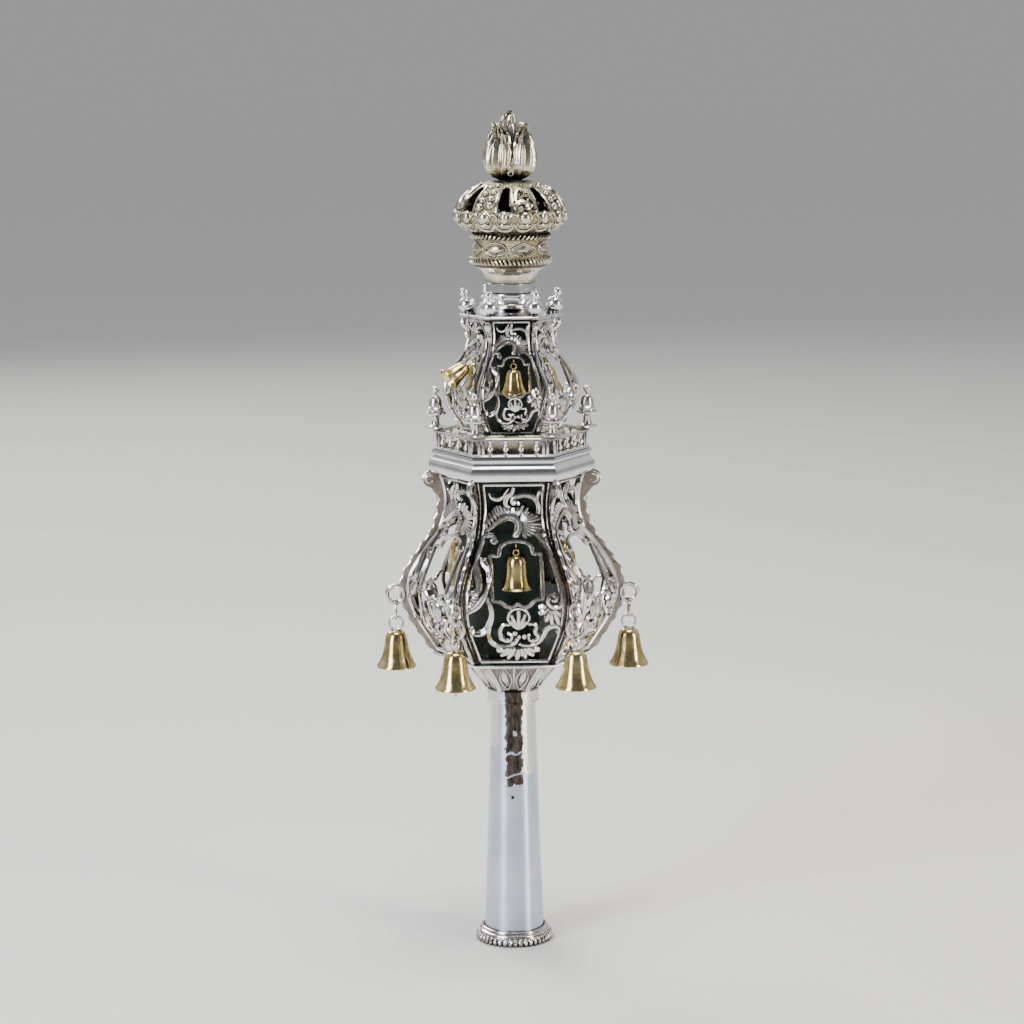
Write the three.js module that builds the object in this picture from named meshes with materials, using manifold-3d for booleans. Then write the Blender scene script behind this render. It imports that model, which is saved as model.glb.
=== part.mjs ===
// A silver Torah finial with gilt bells: a socketed stem, two hexagonal pear-shaped lanterns with a
// balustraded gallery between them, and a closed crown with a flame bud. Millimetres, +Z up, and the
// origin is the centre of the foot's underside. One flat side of the hexagon faces -Y.
import * as THREE from "three";
import { mergeVertices } from "three/addons/utils/BufferGeometryUtils.js";
import Module from "manifold-3d";

const wasm = await Module();
wasm.setup();

// Driving dimensions
const SIDES = 6; // both lanterns, the floor, the cornice and the gallery are hexagons
const SEAT_GAP = 0.3; // clearance between pieces that seat on each other

const FOOT_RADIUS = 18.6;
const FOOT_HEIGHT = 6.9;
const FOOT_BEADS = 32;
const BEAD_DEPTH = 1.2;
const FOOT_RIM = 4; // height of the beaded rim

const STEM_FOOT_RADIUS = 14.5;
const STEM_TOP_RADIUS = 10.4;
const STEM_WALL = 0.9;
const STEM_LENGTH = 124.8;
const STEM_LIFT = 0.2; // the tube's end stays this far above the surface that the foot stands on
const ROUND_SIDES = 24;

const COLLAR_RADIUS = 12.5;
const COLLAR_HEIGHT = 6.4;

const CALYX_FOOT_RADIUS = 12.8;
const CALYX_TOP_RADIUS = 25;
const CALYX_HEIGHT = 15.7;
const CALYX_RIM = 1.6;
const CALYX_WALL = 1.2;
const CALYX_LEAF_RISE = 0.9;
const CALYX_RIB_WIDTH = 2.4;

const FLOOR_RADIUS = 38.5;
const FLOOR_THICKNESS = 1.8;

const LOWER_HEIGHT = 87; // the lower lantern, from its floor to the cornice
const UPPER_HEIGHT = 54; // the upper lantern, from its plinth to the roof
const LOWER_GIRTH = 87; // what the lower lantern's radii and the width of its carving are shares of
const UPPER_GIRTH = 54;
const LOWER_CORE_RADIUS = 24;
const UPPER_CORE_RADIUS = 13;
const CORE_WALL = 1;

const PANEL_THICKNESS = 1.4;
const UPPER_PANEL_THICKNESS = 1.1;
const BUTTRESS_THICKNESS = 2.2;
const BUTTRESS_BACK = 2; // how far a buttress reaches behind the panels' corner
const BUTTRESS_WEB = 3.6; // how far it stands proud of that corner
const BUTTRESS_SCALLOPS = 12;
const SCALLOP_RISE = 1.1;
const SCROLL_RADIUS = 3.5; // the rolled scroll at a buttress's head
const SCROLL_REACH = 6.4; // its centre's distance outside the corner below it
const RIB_THICKNESS = 2.2;
const RIB_BACK = 1.4;
const RIB_WEB = 1.4;
const RIB_SCROLLS = 8.4; // height of the two small scrolls at a rib's head

const EYE_HEIGHT = 27.8; // centre of the bell eyes above the lantern's floor
const EYE_REACH = 55.9; // the eyes' distance from the axis
const EYE_RADIUS = 4.1;
const EYE_WIRE = 1.1;
const LINK_RADIUS = 4.9;
const LINK_WIRE = 0.65;
const LOOP_RADIUS = 3.3;
const LOOP_WIRE = 0.6;
const CORNER_BELL = { radius: 9.9, height: 17.8, wall: 0.7, sides: 8 };
const CLAPPER_DROPS = { 4: 2.2, 5: 4.6 }; // the bells that keep a clapper, and how far it hangs below the lip
const LOWER_WINDOW_BELL = { radius: 7.1, height: 16, wall: 0.6, sides: 6 };
const UPPER_WINDOW_BELL = { radius: 6.1, height: 11.5, wall: 0.6, sides: 6 };
const WINDOW_LOOP_RADIUS = 1.3;
const WINDOW_LOOP_WIRE = 0.4;
const HOOK_HEIGHT = 0.625; // where a window's bell hangs, as a share of the lantern's height
const LOWER_BELL_BEHIND = 4.2; // millimetres that the bells hang behind the panels
const UPPER_BELL_BEHIND = 1.8;
const SWUNG_OUT = { behind: -1.7, lean: [55, 8] }; // left of the front, out through its window
const ASKEW = { behind: UPPER_BELL_BEHIND, lean: [6, -6] }; // right of the front

const CORNICE_RADIUS = 39.6;
const CORNICE_HEIGHT = 10.9;
const CORNICE_TORUS = 6.2; // height of its round lower moulding
const CORNICE_WALL = 1.6;
const ROD_HOLE_RADIUS = 3; // in the underside of the hollow cornice, for the rod that holds the tiers together
const GALLERY_RADIUS = 37;
const GALLERY_HEIGHT = 8.8;
const GALLERY_RAIL = 1.3;
const BALUSTERS = 4; // on each side of the gallery
const BALUSTER_RADIUS = 1.6;
const POST_WIDTH = 2.6;
const FINIAL_REACH = 35.9; // the gallery finials' distance from the axis
const FINIAL_RADIUS = 5.2;
const FINIAL_HEIGHT = 20.8;
const FINIAL_SIDES = 8;
const PLINTH_RADIUS = 25.6;
const PLINTH_HEIGHT = 8.8;
const PLINTH_WALL = 1.4;

const ROOF_RADIUS = 24.3;
const ROOF_EDGE = 1.2;
const ROOF_RISE = 4.6; // from the roof's edge to the foot of the drum
const DRUM_RADIUS = 11.9;
const DRUM_HEIGHT = 5.2;
const DRUM_SIDES = 12;
const KNOB_REACH = 21.2;
const KNOB_LEAN = 14; // degrees that the roof knobs lean outwards, square to the roof's slope
const KNOB_RADIUS = 4.1;
const KNOB_SIDES = 8;

const NECK_SIDES = 10;
const NECK_RADIUS = 11.7;
const NECK_COLLAR_HEIGHT = 4.4;
const FLARE_HEIGHT = 8.2;
const FLARE_RADIUS = 16.6;
const NECK_WALL = 1;

const BAND_HEIGHT = 15;
const BAND_WAIST = 15.8;
const LOW_ROPE_RADIUS = 19.6;
const HIGH_ROPE_RADIUS = 18.8;
const ROPE_HEIGHT = 3;
const BAND_WALL = 1.2;
const OVAL = { wide: 4.2, tall: 2.8, sides: 6 }; // the band's bosses, by half their width and height
const LOZENGE = { wide: 3.6, tall: 2.8, sides: 4 };
const DOME_HEIGHT = 23.4;
const DOME_RADIUS = 25.4;
const DOME_WALL = 1.4;
const DOME_SIDES = 16;
const DOME_WIDEST = 7.4; // height of the widest ring above the dome's foot
const CROWN_BANDS = 8; // broad straps of the crown, with a slot between each two
const SLOT_WIDTH = 6.6;
const SLOT_SPAN = [0.427, 0.876]; // from foot to head, in shares of the dome's height
const SLOT_TURN = -8; // degrees from the front to the nearest slot
const CROWN_FACET = SLOT_TURN + 180 / DOME_SIDES; // so that slots and bosses are in the middle of facets
const BOSS_RADIUS = 2.5;

const BUD_HEIGHT = 32.2;
const BUD_RADIUS = 12.4;
const BUD_CORE_RADIUS = 9.4;
const BUD_LEAVES = 4;
const LEAF_WALL = 1.6;

// Heights that follow from them
const COLLAR_Z = STEM_LENGTH - COLLAR_HEIGHT + 0.4;
const CALYX_Z = COLLAR_Z + COLLAR_HEIGHT + SEAT_GAP;
const FLOOR_Z = CALYX_Z + CALYX_HEIGHT + SEAT_GAP;
const LOWER_Z = FLOOR_Z + FLOOR_THICKNESS;
const CORNICE_Z = LOWER_Z + LOWER_HEIGHT;
const GALLERY_Z = CORNICE_Z + CORNICE_HEIGHT + SEAT_GAP;
const UPPER_Z = GALLERY_Z + PLINTH_HEIGHT;
const ROOF_Z = UPPER_Z + UPPER_HEIGHT;
const NECK_Z = ROOF_Z + ROOF_EDGE + ROOF_RISE + DRUM_HEIGHT + SEAT_GAP;
const FLARE_Z = NECK_Z + NECK_COLLAR_HEIGHT + SEAT_GAP;
const BAND_Z = FLARE_Z + FLARE_HEIGHT + SEAT_GAP;
const DOME_Z = BAND_Z + BAND_HEIGHT + SEAT_GAP;
const BUD_Z = DOME_Z + DOME_HEIGHT + SEAT_GAP;
const LOWER = { base: LOWER_Z, height: LOWER_HEIGHT, girth: LOWER_GIRTH };
const UPPER = { base: UPPER_Z, height: UPPER_HEIGHT, girth: UPPER_GIRTH };

const turnOf = (degrees) => (degrees * Math.PI) / 180;
const SECTOR = turnOf(360 / SIDES);
const FLAT = Math.cos(SECTOR / 2); // a hexagon's flat side over its corner radius
const FRONT = turnOf(-90);

// Finishes
const SILVER = { color: 0xc8ccd4, roughness: 0.28, metalness: 1 };
const CROWN_SILVER = { color: 0xbcb8a4, roughness: 0.35, metalness: 1 };
const DARK_SILVER = { color: 0x4b524f, roughness: 0.2, metalness: 1 };
const GILT = { color: 0xc9a650, roughness: 0.25, metalness: 1 };

const finial = new THREE.Group();

function place(name, geometry, finish, turn = 0, holder = finial) {
  const mesh = new THREE.Mesh(geometry, new THREE.MeshStandardMaterial(finish));
  mesh.name = name;
  mesh.rotation.z = turn;
  holder.add(mesh);
  return mesh;
}

// Merges shared vertices, drops the slivers at poles and turns the faces outwards.
function weld(geometry) {
  const bare = geometry.clone();
  bare.deleteAttribute("normal");
  bare.deleteAttribute("uv");
  const merged = mergeVertices(bare, 1e-4);
  const points = merged.attributes.position;
  const kept = [];
  let volume = 0;
  for (let i = 0; i < merged.index.count; i += 3) {
    const [a, b, c] = [0, 1, 2].map((k) => merged.index.getX(i + k));
    if (a === b || b === c || c === a) continue;
    kept.push([a, b, c]);
    const [p, q, r] = [a, b, c].map((k) => new THREE.Vector3().fromBufferAttribute(points, k));
    volume += p.dot(q.cross(r));
  }
  merged.setIndex((volume < 0 ? kept.map(([a, b, c]) => [a, c, b]) : kept).flat());
  return merged;
}

function meshOf(points, faces) {
  const geometry = new THREE.BufferGeometry();
  geometry.setAttribute("position", new THREE.Float32BufferAttribute(points.flatMap((p) => [p.x, p.y, p.z]), 3));
  geometry.setIndex(faces.flat());
  return weld(geometry);
}

function toSolid(geometry) {
  const welded = weld(geometry);
  return new wasm.Manifold(
    new wasm.Mesh({
      numProp: 3,
      vertProperties: Float32Array.from(welded.attributes.position.array),
      triVerts: Uint32Array.from(welded.index.array),
    }),
  );
}

function fromSolid(solid) {
  const mesh = solid.getMesh();
  const geometry = new THREE.BufferGeometry();
  const points = [];
  for (let i = 0; i < mesh.numVert; i += 1) {
    points.push(...mesh.vertProperties.slice(i * mesh.numProp, i * mesh.numProp + 3));
  }
  geometry.setAttribute("position", new THREE.Float32BufferAttribute(points, 3));
  geometry.setIndex(Array.from(mesh.triVerts));
  return geometry;
}

const join = (geometries) => fromSolid(geometries.map(toSolid).reduce((whole, next) => whole.add(next)));

// A profile of [radius, height] pairs, turned about Z. Corner 0 lies at angle `start` from the front.
function turned(profile, sides, start = 0) {
  const points = profile.map(([radius, height]) => new THREE.Vector2(radius, height));
  return weld(new THREE.LatheGeometry(points, sides, start).rotateX(Math.PI / 2));
}

const closed = (profile) => [...profile, profile[0]];
const hexagonal = (profile) => turned(profile, SIDES, SECTOR / 2);
const raised = (profile, base) => profile.map(([radius, height]) => [radius, base + height]);
const scaled = (profile, radius, height) => profile.map(([r, z]) => [r * radius, z * height]);

// The pear shape of both lanterns: height share, and corner radius as a share of the girth
const PEAR = [
  [0, 0.4],
  [0.09, 0.458],
  [0.2, 0.528],
  [0.33, 0.568],
  [0.44, 0.552],
  [0.56, 0.478],
  [0.68, 0.396],
  [0.8, 0.361],
  [0.9, 0.361],
  [1, 0.384],
];
const pearCurve = new THREE.SplineCurve(PEAR.map(([share, radius]) => new THREE.Vector2(share, radius)));

// The corner radius, as a share of the girth, at a height share. The curve climbs almost evenly, so a few steps find the height.
function pearRadius(share) {
  let t = THREE.MathUtils.clamp(share, 0, 1);
  for (let i = 0; i < 12; i += 1) {
    t = THREE.MathUtils.clamp(t - (pearCurve.getPoint(t).x - share), 0, 1);
  }
  return pearCurve.getPoint(t).y;
}

// The face of one lantern side, in its own frame with the side facing -Y. u runs across from the middle,
// in shares of the girth, and v up from the floor, in shares of the height; rise is in millimetres off the
// face. The side stops short of the left and right corners' middle planes by the two clearances.
function lanternFace({ base, height, girth }, leftClearance, rightClearance) {
  const at = (u, v, rise = 0) => {
    const slope = (((pearRadius(v + 0.01) - pearRadius(v - 0.01)) * girth) / (0.02 * height)) * FLAT;
    const length = Math.hypot(1, slope);
    const out = pearRadius(v) * girth * FLAT + rise / length;
    return new THREE.Vector3(u * girth, -out, base + v * height - (rise * slope) / length);
  };
  const left = (v) => -pearRadius(v) / 2 + leftClearance / FLAT / girth;
  const right = (v) => pearRadius(v) / 2 - rightClearance / FLAT / girth;
  return { at, left, right };
}

// The openings of a pierced rococo side: across from its middle in shares of the girth, and up from its
// floor in shares of the height
const WINDOW = [
  [-0.127, 0.594],
  [-0.12, 0.379],
  [-0.079, 0.372],
  [-0.038, 0.344],
  [0.015, 0.359],
  [0.068, 0.344],
  [0.102, 0.376],
  [0.15, 0.384],
  [0.142, 0.603],
  [0.103, 0.604],
  [0.086, 0.645],
  [0.01, 0.668],
  [-0.068, 0.643],
  [-0.084, 0.594],
];
const OPENINGS = {
  crest: [[-0.113, 0.708], [-0.084, 0.745], [-0.028, 0.755], [-0.008, 0.73], [-0.016, 0.685], [-0.085, 0.664]],
  leftScroll: [[-0.168, 0.62], [-0.14, 0.64], [-0.098, 0.64], [-0.1, 0.612], [-0.144, 0.61], [-0.147, 0.55], [-0.168, 0.56]],
  rightScroll: [[0.168, 0.59], [0.214, 0.53], [0.243, 0.48], [0.238, 0.415], [0.2, 0.412], [0.17, 0.43]],
  headLeft: [[-0.152, 0.962], [-0.13, 0.969], [-0.114, 0.898], [-0.072, 0.888], [-0.112, 0.835], [-0.142, 0.83]],
  headRight: [[-0.006, 0.967], [0.138, 0.963], [0.122, 0.934], [0.02, 0.938]],
  headScroll: [[0.03, 0.898], [0.08, 0.904], [0.112, 0.888], [0.114, 0.83], [0.075, 0.852]],
  shellLeft: [[-0.118, 0.35], [-0.044, 0.322], [-0.044, 0.268], [-0.1, 0.22], [-0.072, 0.155], [-0.122, 0.19], [-0.108, 0.29]],
  shellRight: [[0.078, 0.322], [0.104, 0.345], [0.114, 0.3], [0.158, 0.252], [0.136, 0.196], [0.12, 0.25], [0.078, 0.275]],
  leftLoop: [[-0.226, 0.288], [-0.2, 0.318], [-0.158, 0.312], [-0.158, 0.268], [-0.198, 0.248]],
  footLeft: [[-0.203, 0.172], [-0.164, 0.178], [-0.104, 0.096], [-0.07, 0.052], [-0.17, 0.048]],
  footRight: [[0.15, 0.158], [0.178, 0.2], [0.206, 0.2], [0.212, 0.165], [0.172, 0.046], [0.1, 0.054], [0.144, 0.102]],
};
const SMALL_OPENINGS = {
  insideCrescent: [[-0.11, 0.968], [-0.1, 0.923], [-0.062, 0.921], [-0.046, 0.964]],
  besideArch: [[0.1, 0.668], [0.12, 0.676], [0.142, 0.63], [0.12, 0.628]],
  besideHead: [[0.134, 0.93], [0.15, 0.935], [0.146, 0.78], [0.136, 0.775]],
  belowLeftScroll: [[-0.224, 0.46], [-0.208, 0.51], [-0.196, 0.5], [-0.198, 0.452]],
  belowHusk: [[-0.158, 0.455], [-0.144, 0.458], [-0.139, 0.39], [-0.148, 0.395]],
};
const RAIL_WIDTH = 0.018; // the least metal between an opening and a side's edge
const EDGE_LEVELS = [0.016, 0.1, 0.2, 0.33, 0.45, 0.56, 0.7, 0.85, 0.992]; // heights where a side's edges bend

// One pierced side, cut flat in shares and then bent to the lantern.
function pierced(face, thickness, openings) {
  const point = ([u, v]) => new THREE.Vector2(u, v);
  const inside = ([u, v]) => point([THREE.MathUtils.clamp(u, face.left(v) + RAIL_WIDTH, face.right(v) - RAIL_WIDTH), v]);
  const outline = new THREE.Shape([
    ...EDGE_LEVELS.map((v) => point([face.right(v), v])),
    ...EDGE_LEVELS.map((v) => point([face.left(v), v])).reverse(),
  ]);
  outline.holes = [WINDOW, ...Object.values(openings)].map((points) => new THREE.Path(points.map(inside)));
  const plate = new THREE.ExtrudeGeometry(outline, { depth: 1, bevelEnabled: false });
  const points = plate.attributes.position;
  for (let i = 0; i < points.count; i += 1) {
    const bent = face.at(points.getX(i), points.getY(i), points.getZ(i) * thickness);
    points.setXYZ(i, bent.x, bent.y, bent.z);
  }
  return weld(plate);
}

// An upright plate in a radial plane: its [radius, height] outline, given a thickness across that plane.
function radialPlate(outline, thickness) {
  const shape = new THREE.Shape(outline.map(([radius, height]) => new THREE.Vector2(radius, height)));
  const plate = new THREE.ExtrudeGeometry(shape, { depth: thickness, bevelEnabled: false });
  return weld(plate.translate(0, 0, -thickness / 2).rotateX(Math.PI / 2));
}

// A rib's back, from its foot up, a little inside the lantern's corner.
function ribBack({ base, height, girth }, back, steps) {
  return Array.from({ length: steps + 1 }, (_, i) => {
    const share = THREE.MathUtils.lerp(SEAT_GAP / height, 1 - SEAT_GAP / height, i / steps);
    return [pearRadius(share) * girth - back, base + share * height];
  });
}

// A lower corner: a scalloped buttress under a rolled scroll, with the eye that its bell hangs from.
function buttress() {
  const scallopsEnd = 0.845; // height share of the hollow below the scroll
  const count = BUTTRESS_SCALLOPS * 2;
  const curve = Array.from({ length: count + 1 }, (_, i) => {
    const share = THREE.MathUtils.lerp(SEAT_GAP / LOWER_HEIGHT, scallopsEnd, i / count);
    const bulge = i % 2 === 0 ? -SCALLOP_RISE / 2 : SCALLOP_RISE / 2;
    return [pearRadius(share) * LOWER_GIRTH + BUTTRESS_WEB + bulge, LOWER_Z + share * LOWER_HEIGHT];
  });
  const scrollReach = pearRadius(0.95) * LOWER_GIRTH + SCROLL_REACH;
  const top = CORNICE_Z - SEAT_GAP;
  const scroll = [-70, -15, 40, 90].map((degrees) => [
    scrollReach + SCROLL_RADIUS * Math.cos(turnOf(degrees)),
    top - SCROLL_RADIUS + SCROLL_RADIUS * Math.sin(turnOf(degrees)),
  ]);
  const notch = [scroll[0][0] - SCROLL_RADIUS * 0.4, scroll[0][1] - SCROLL_RADIUS * 0.17];
  const outline = [...curve, notch, ...scroll, ...ribBack(LOWER, BUTTRESS_BACK, 6).reverse()];
  const eyeZ = LOWER_Z + EYE_HEIGHT;
  const eye = wireRing(EYE_RADIUS, EYE_WIRE, 8, 3).translate(EYE_REACH, 0, eyeZ);
  // The eye's root, from inside the web to the ring
  const [rootStart, rootEnd] = [pearRadius(EYE_HEIGHT / LOWER_HEIGHT) * LOWER_GIRTH, EYE_REACH - EYE_RADIUS];
  const root = [[rootStart, -EYE_WIRE], [rootEnd, -EYE_WIRE], [rootEnd, EYE_WIRE], [rootStart, EYE_WIRE]];
  return join([radialPlate(outline, BUTTRESS_THICKNESS), radialPlate(raised(root, eyeZ), 2 * EYE_WIRE), eye]);
}

// An upper corner: a plain rib with two small scrolls at its head.
function rib() {
  const steps = 6;
  const curve = Array.from({ length: steps + 1 }, (_, i) => {
    const share = THREE.MathUtils.lerp(SEAT_GAP / UPPER_HEIGHT, 0.8, i / steps);
    return [pearRadius(share) * UPPER_GIRTH + RIB_WEB, UPPER_Z + share * UPPER_HEIGHT];
  });
  const neck = pearRadius(0.85) * UPPER_GIRTH + RIB_WEB;
  const top = ROOF_Z - SEAT_GAP;
  const scrolls = [[0.11, -1], [0.06, -0.74], [0.37, -0.43], [0.44, -0.19], [0.19, 0]].map(([out, up]) => [
    neck + out * RIB_SCROLLS,
    top + up * RIB_SCROLLS,
  ]);
  return radialPlate([...curve, ...scrolls, ...ribBack(UPPER, RIB_BACK, 5).reverse()], RIB_THICKNESS);
}

// A ring of wire. Its axis is Y, so it stands upright in the XZ plane.
function wireRing(radius, wire, around, section) {
  return weld(new THREE.TorusGeometry(radius, wire, section, around).rotateX(Math.PI / 2));
}

// Bell outlines from the crown down to the lip, as shares of the lip's radius and the height
const BELL_PROFILE = [[0.5, 0], [0.66, -0.2], [0.75, -0.68], [1, -1]];
const SLIM_BELL_PROFILE = [[0.56, 0], [0.69, -0.2], [0.72, -0.7], [1, -1]];

// A hollow bell that hangs with its crown at the origin.
function bellShape(shares, { radius, height, wall, sides }) {
  const outer = scaled(shares, radius, height);
  const inner = outer.slice(1, -1).reverse().map(([r, z]) => [r - wall, z]);
  return turned([[0, 0], ...outer, [radius - wall * 0.8, -height], ...inner, [0, outer[1][1] - wall]], sides);
}

// A bell on its link: ring through the eye, loop, bell, and in two of them the clapper with its wire.
function cornerBell(clapperDrop) {
  const linkZ = EYE_WIRE + LINK_WIRE + SEAT_GAP - EYE_RADIUS - LINK_RADIUS;
  const loopZ = linkZ - LINK_RADIUS + LINK_WIRE + LOOP_WIRE - 0.15 - LOOP_RADIUS;
  const crownZ = loopZ - LOOP_RADIUS;
  const pieces = [
    wireRing(LINK_RADIUS, LINK_WIRE, 9, 3).rotateZ(Math.PI / 2).translate(0, 0, linkZ),
    wireRing(LOOP_RADIUS, LOOP_WIRE, 6, 3).translate(0, 0, loopZ),
    bellShape(BELL_PROFILE, CORNER_BELL).translate(0, 0, crownZ),
  ];
  if (clapperDrop !== undefined) {
    const clapperEnd = crownZ - CORNER_BELL.height - clapperDrop;
    const clapperTop = crownZ - CORNER_BELL.wall / 2;
    pieces.push(turned([[0, clapperTop], [0.4, clapperTop], [0.9, clapperEnd + 0.7], [0, clapperEnd]], 4));
  }
  return join(pieces);
}

// A window bell below a small loop that hangs at the origin.
function windowBell(size) {
  const crownZ = -2 * WINDOW_LOOP_RADIUS - WINDOW_LOOP_WIRE;
  const loop = wireRing(WINDOW_LOOP_RADIUS, WINDOW_LOOP_WIRE, 4, 3).translate(0, 0, crownZ / 2 - WINDOW_LOOP_WIRE / 2);
  return join([loop, bellShape(SLIM_BELL_PROFILE, size).translate(0, 0, crownZ)]);
}

// Hangs a bell behind the head of a window. Leans are in degrees: outwards, and towards the left.
function hangBell(name, geometry, face, side, { behind, lean }) {
  const hook = face.at(0.012, HOOK_HEIGHT);
  const group = new THREE.Group();
  group.rotation.z = side * SECTOR;
  finial.add(group);
  const bell = place(name, geometry, GILT, 0, group);
  bell.position.set(hook.x, hook.y + behind, hook.z);
  bell.rotation.set(-turnOf(lean[0]), turnOf(lean[1]), 0);
}

// Foot, stem, collar, calyx and floor
const stemRadius = (z) => THREE.MathUtils.lerp(STEM_FOOT_RADIUS, STEM_TOP_RADIUS, z / STEM_LENGTH);

// A moulded ring with a row of beads round its rim. Every second column of the rim is drawn in.
function footRing() {
  const bore = STEM_FOOT_RADIUS + SEAT_GAP;
  const profile = closed([
    [bore, 0],
    [FOOT_RADIUS, 0],
    [FOOT_RADIUS, FOOT_RIM],
    [bore, FOOT_HEIGHT],
  ]);
  const columns = FOOT_BEADS * 2;
  const ring = turned(profile, columns);
  const points = ring.attributes.position;
  for (let i = 0; i < points.count; i += 1) {
    const [x, y] = [points.getX(i), points.getY(i)];
    const column = Math.round((Math.atan2(x, -y) / (2 * Math.PI)) * columns);
    if (Math.hypot(x, y) < FOOT_RADIUS - 0.1 || column % 2 === 0) continue;
    const share = 1 - BEAD_DEPTH / FOOT_RADIUS;
    points.setXY(i, x * share, y * share);
  }
  return ring;
}

function stem() {
  const [low, high] = [stemRadius(0), stemRadius(STEM_LENGTH)];
  const outer = [[low, STEM_LIFT], [high, STEM_LENGTH]];
  return turned(closed([...outer, [high - STEM_WALL, STEM_LENGTH], [low - STEM_WALL, STEM_LIFT]]), ROUND_SIDES);
}

function stemCollar() {
  const bore = stemRadius(COLLAR_Z) + SEAT_GAP;
  const bevel = 0.6;
  const profile = [
    [bore, 0],
    [COLLAR_RADIUS, bevel],
    [COLLAR_RADIUS, COLLAR_HEIGHT - bevel],
    [bore, COLLAR_HEIGHT],
  ];
  return turned(closed(raised(profile, COLLAR_Z)), ROUND_SIDES);
}

// A six-sided cup with a plain rib at each corner and two raised leaves on each side.
function leafCalyx() {
  const top = CALYX_Z + CALYX_HEIGHT;
  const eaves = top - CALYX_RIM;
  const cup = hexagonal(
    closed([
      [CALYX_FOOT_RADIUS - CALYX_WALL, CALYX_Z],
      [CALYX_FOOT_RADIUS, CALYX_Z],
      [CALYX_TOP_RADIUS, eaves],
      [CALYX_TOP_RADIUS, top],
      [CALYX_TOP_RADIUS - CALYX_WALL, top],
      [CALYX_TOP_RADIUS - CALYX_WALL, eaves],
    ]),
  );
  // A point on the front side: across in shares of the side's half width, up in shares of the cup
  const at = (across, share, rise) => {
    const radius = THREE.MathUtils.lerp(CALYX_FOOT_RADIUS, CALYX_TOP_RADIUS, share);
    return new THREE.Vector3((across * radius) / 2, -(radius * FLAT + rise), THREE.MathUtils.lerp(CALYX_Z, eaves, share));
  };
  const leaf = (side) => {
    const outline = [[0.4, 0.03], [0.74, 0.5], [0.44, 0.95], [0.1, 0.5]];
    const under = at(side * 0.42, 0.5, -0.6);
    const middle = at(side * 0.42, 0.5, CALYX_LEAF_RISE);
    const rim = outline.map(([across, share]) => at(side * across, share, 0.02));
    const faces = [0, 1, 2, 3].flatMap((i) => [[i, (i + 1) % 4, 4], [(i + 1) % 4, i, 5]]);
    return meshOf([...rim, middle, under], faces);
  };
  const cornerRib = radialPlate(
    [
      [CALYX_FOOT_RADIUS - 0.6, CALYX_Z + 0.2],
      [CALYX_FOOT_RADIUS + 0.6, CALYX_Z + 0.2],
      [CALYX_TOP_RADIUS + 0.4, eaves - 0.2],
      [CALYX_TOP_RADIUS - 1, eaves - 0.2],
    ],
    CALYX_RIB_WIDTH,
  );
  const pieces = [cup];
  for (let k = 0; k < SIDES; k += 1) {
    const turn = k * SECTOR;
    pieces.push(leaf(-1).rotateZ(turn), leaf(1).rotateZ(turn), cornerRib.clone().rotateZ(turn));
  }
  return join(pieces);
}

function lanternFloor() {
  const profile = [
    [0, 0],
    [FLOOR_RADIUS - 1.2, 0],
    [FLOOR_RADIUS, FLOOR_THICKNESS / 2],
    [FLOOR_RADIUS - 0.6, FLOOR_THICKNESS],
    [0, FLOOR_THICKNESS],
  ];
  return hexagonal(raised(profile, FLOOR_Z));
}

function core(radius, base, height) {
  const [low, high] = [base + SEAT_GAP, base + height - SEAT_GAP];
  return hexagonal(closed([[radius, low], [radius, high], [radius - CORE_WALL, high], [radius - CORE_WALL, low]]));
}

// Cornice, gallery and plinth
function cornice() {
  const bulge = 2.2;
  const torus = [-60, -20, 20, 60].map((degrees) => [
    CORNICE_RADIUS - bulge + bulge * Math.cos(turnOf(degrees)),
    (CORNICE_TORUS / 2) * (1 + Math.sin(turnOf(degrees)) / Math.sin(turnOf(60))),
  ]);
  const wide = torus[0][0] - CORNICE_WALL;
  const narrow = GALLERY_RADIUS - CORNICE_WALL;
  const profile = [
    [0, CORNICE_HEIGHT - CORNICE_WALL],
    [narrow, CORNICE_HEIGHT - CORNICE_WALL],
    [narrow, CORNICE_TORUS + 1.3],
    [wide, CORNICE_TORUS - 1.3],
    [wide, CORNICE_WALL],
    [ROD_HOLE_RADIUS, CORNICE_WALL],
    [ROD_HOLE_RADIUS, 0],
    ...torus,
    [CORNICE_RADIUS - 2.4, CORNICE_TORUS + 1.3],
    [GALLERY_RADIUS + 0.4, CORNICE_HEIGHT - 2.4],
    [GALLERY_RADIUS + 0.9, CORNICE_HEIGHT],
    [0, CORNICE_HEIGHT],
  ];
  return hexagonal(raised(profile, CORNICE_Z));
}

function gallery() {
  const middle = GALLERY_RADIUS - 1;
  const halfRail = 1.1;
  const rail = (base) =>
    hexagonal(
      closed([
        [middle - halfRail, base],
        [middle + halfRail, base],
        [middle + halfRail, base + GALLERY_RAIL],
        [middle - halfRail, base + GALLERY_RAIL],
      ]),
    );
  const foot = GALLERY_Z + GALLERY_RAIL / 2;
  const span = GALLERY_HEIGHT - GALLERY_RAIL;
  const spindle = raised(scaled([[0, 0], [0.55, 0], [1, 0.36], [0.42, 1], [0, 1]], BALUSTER_RADIUS, span), foot);
  const pieces = [rail(GALLERY_Z), rail(GALLERY_Z + GALLERY_HEIGHT - GALLERY_RAIL)];
  const pitch = middle / (BALUSTERS + 1);
  for (let k = 0; k < SIDES; k += 1) {
    for (let i = 0; i < BALUSTERS; i += 1) {
      const across = (i - (BALUSTERS - 1) / 2) * pitch;
      pieces.push(turned(spindle, 4, turnOf(45)).translate(across, -middle * FLAT, 0).rotateZ(k * SECTOR));
    }
    const post = new THREE.BoxGeometry(POST_WIDTH, POST_WIDTH, span);
    pieces.push(post.translate(middle, 0, foot + span / 2).rotateZ(k * SECTOR));
  }
  return join(pieces);
}

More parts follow.
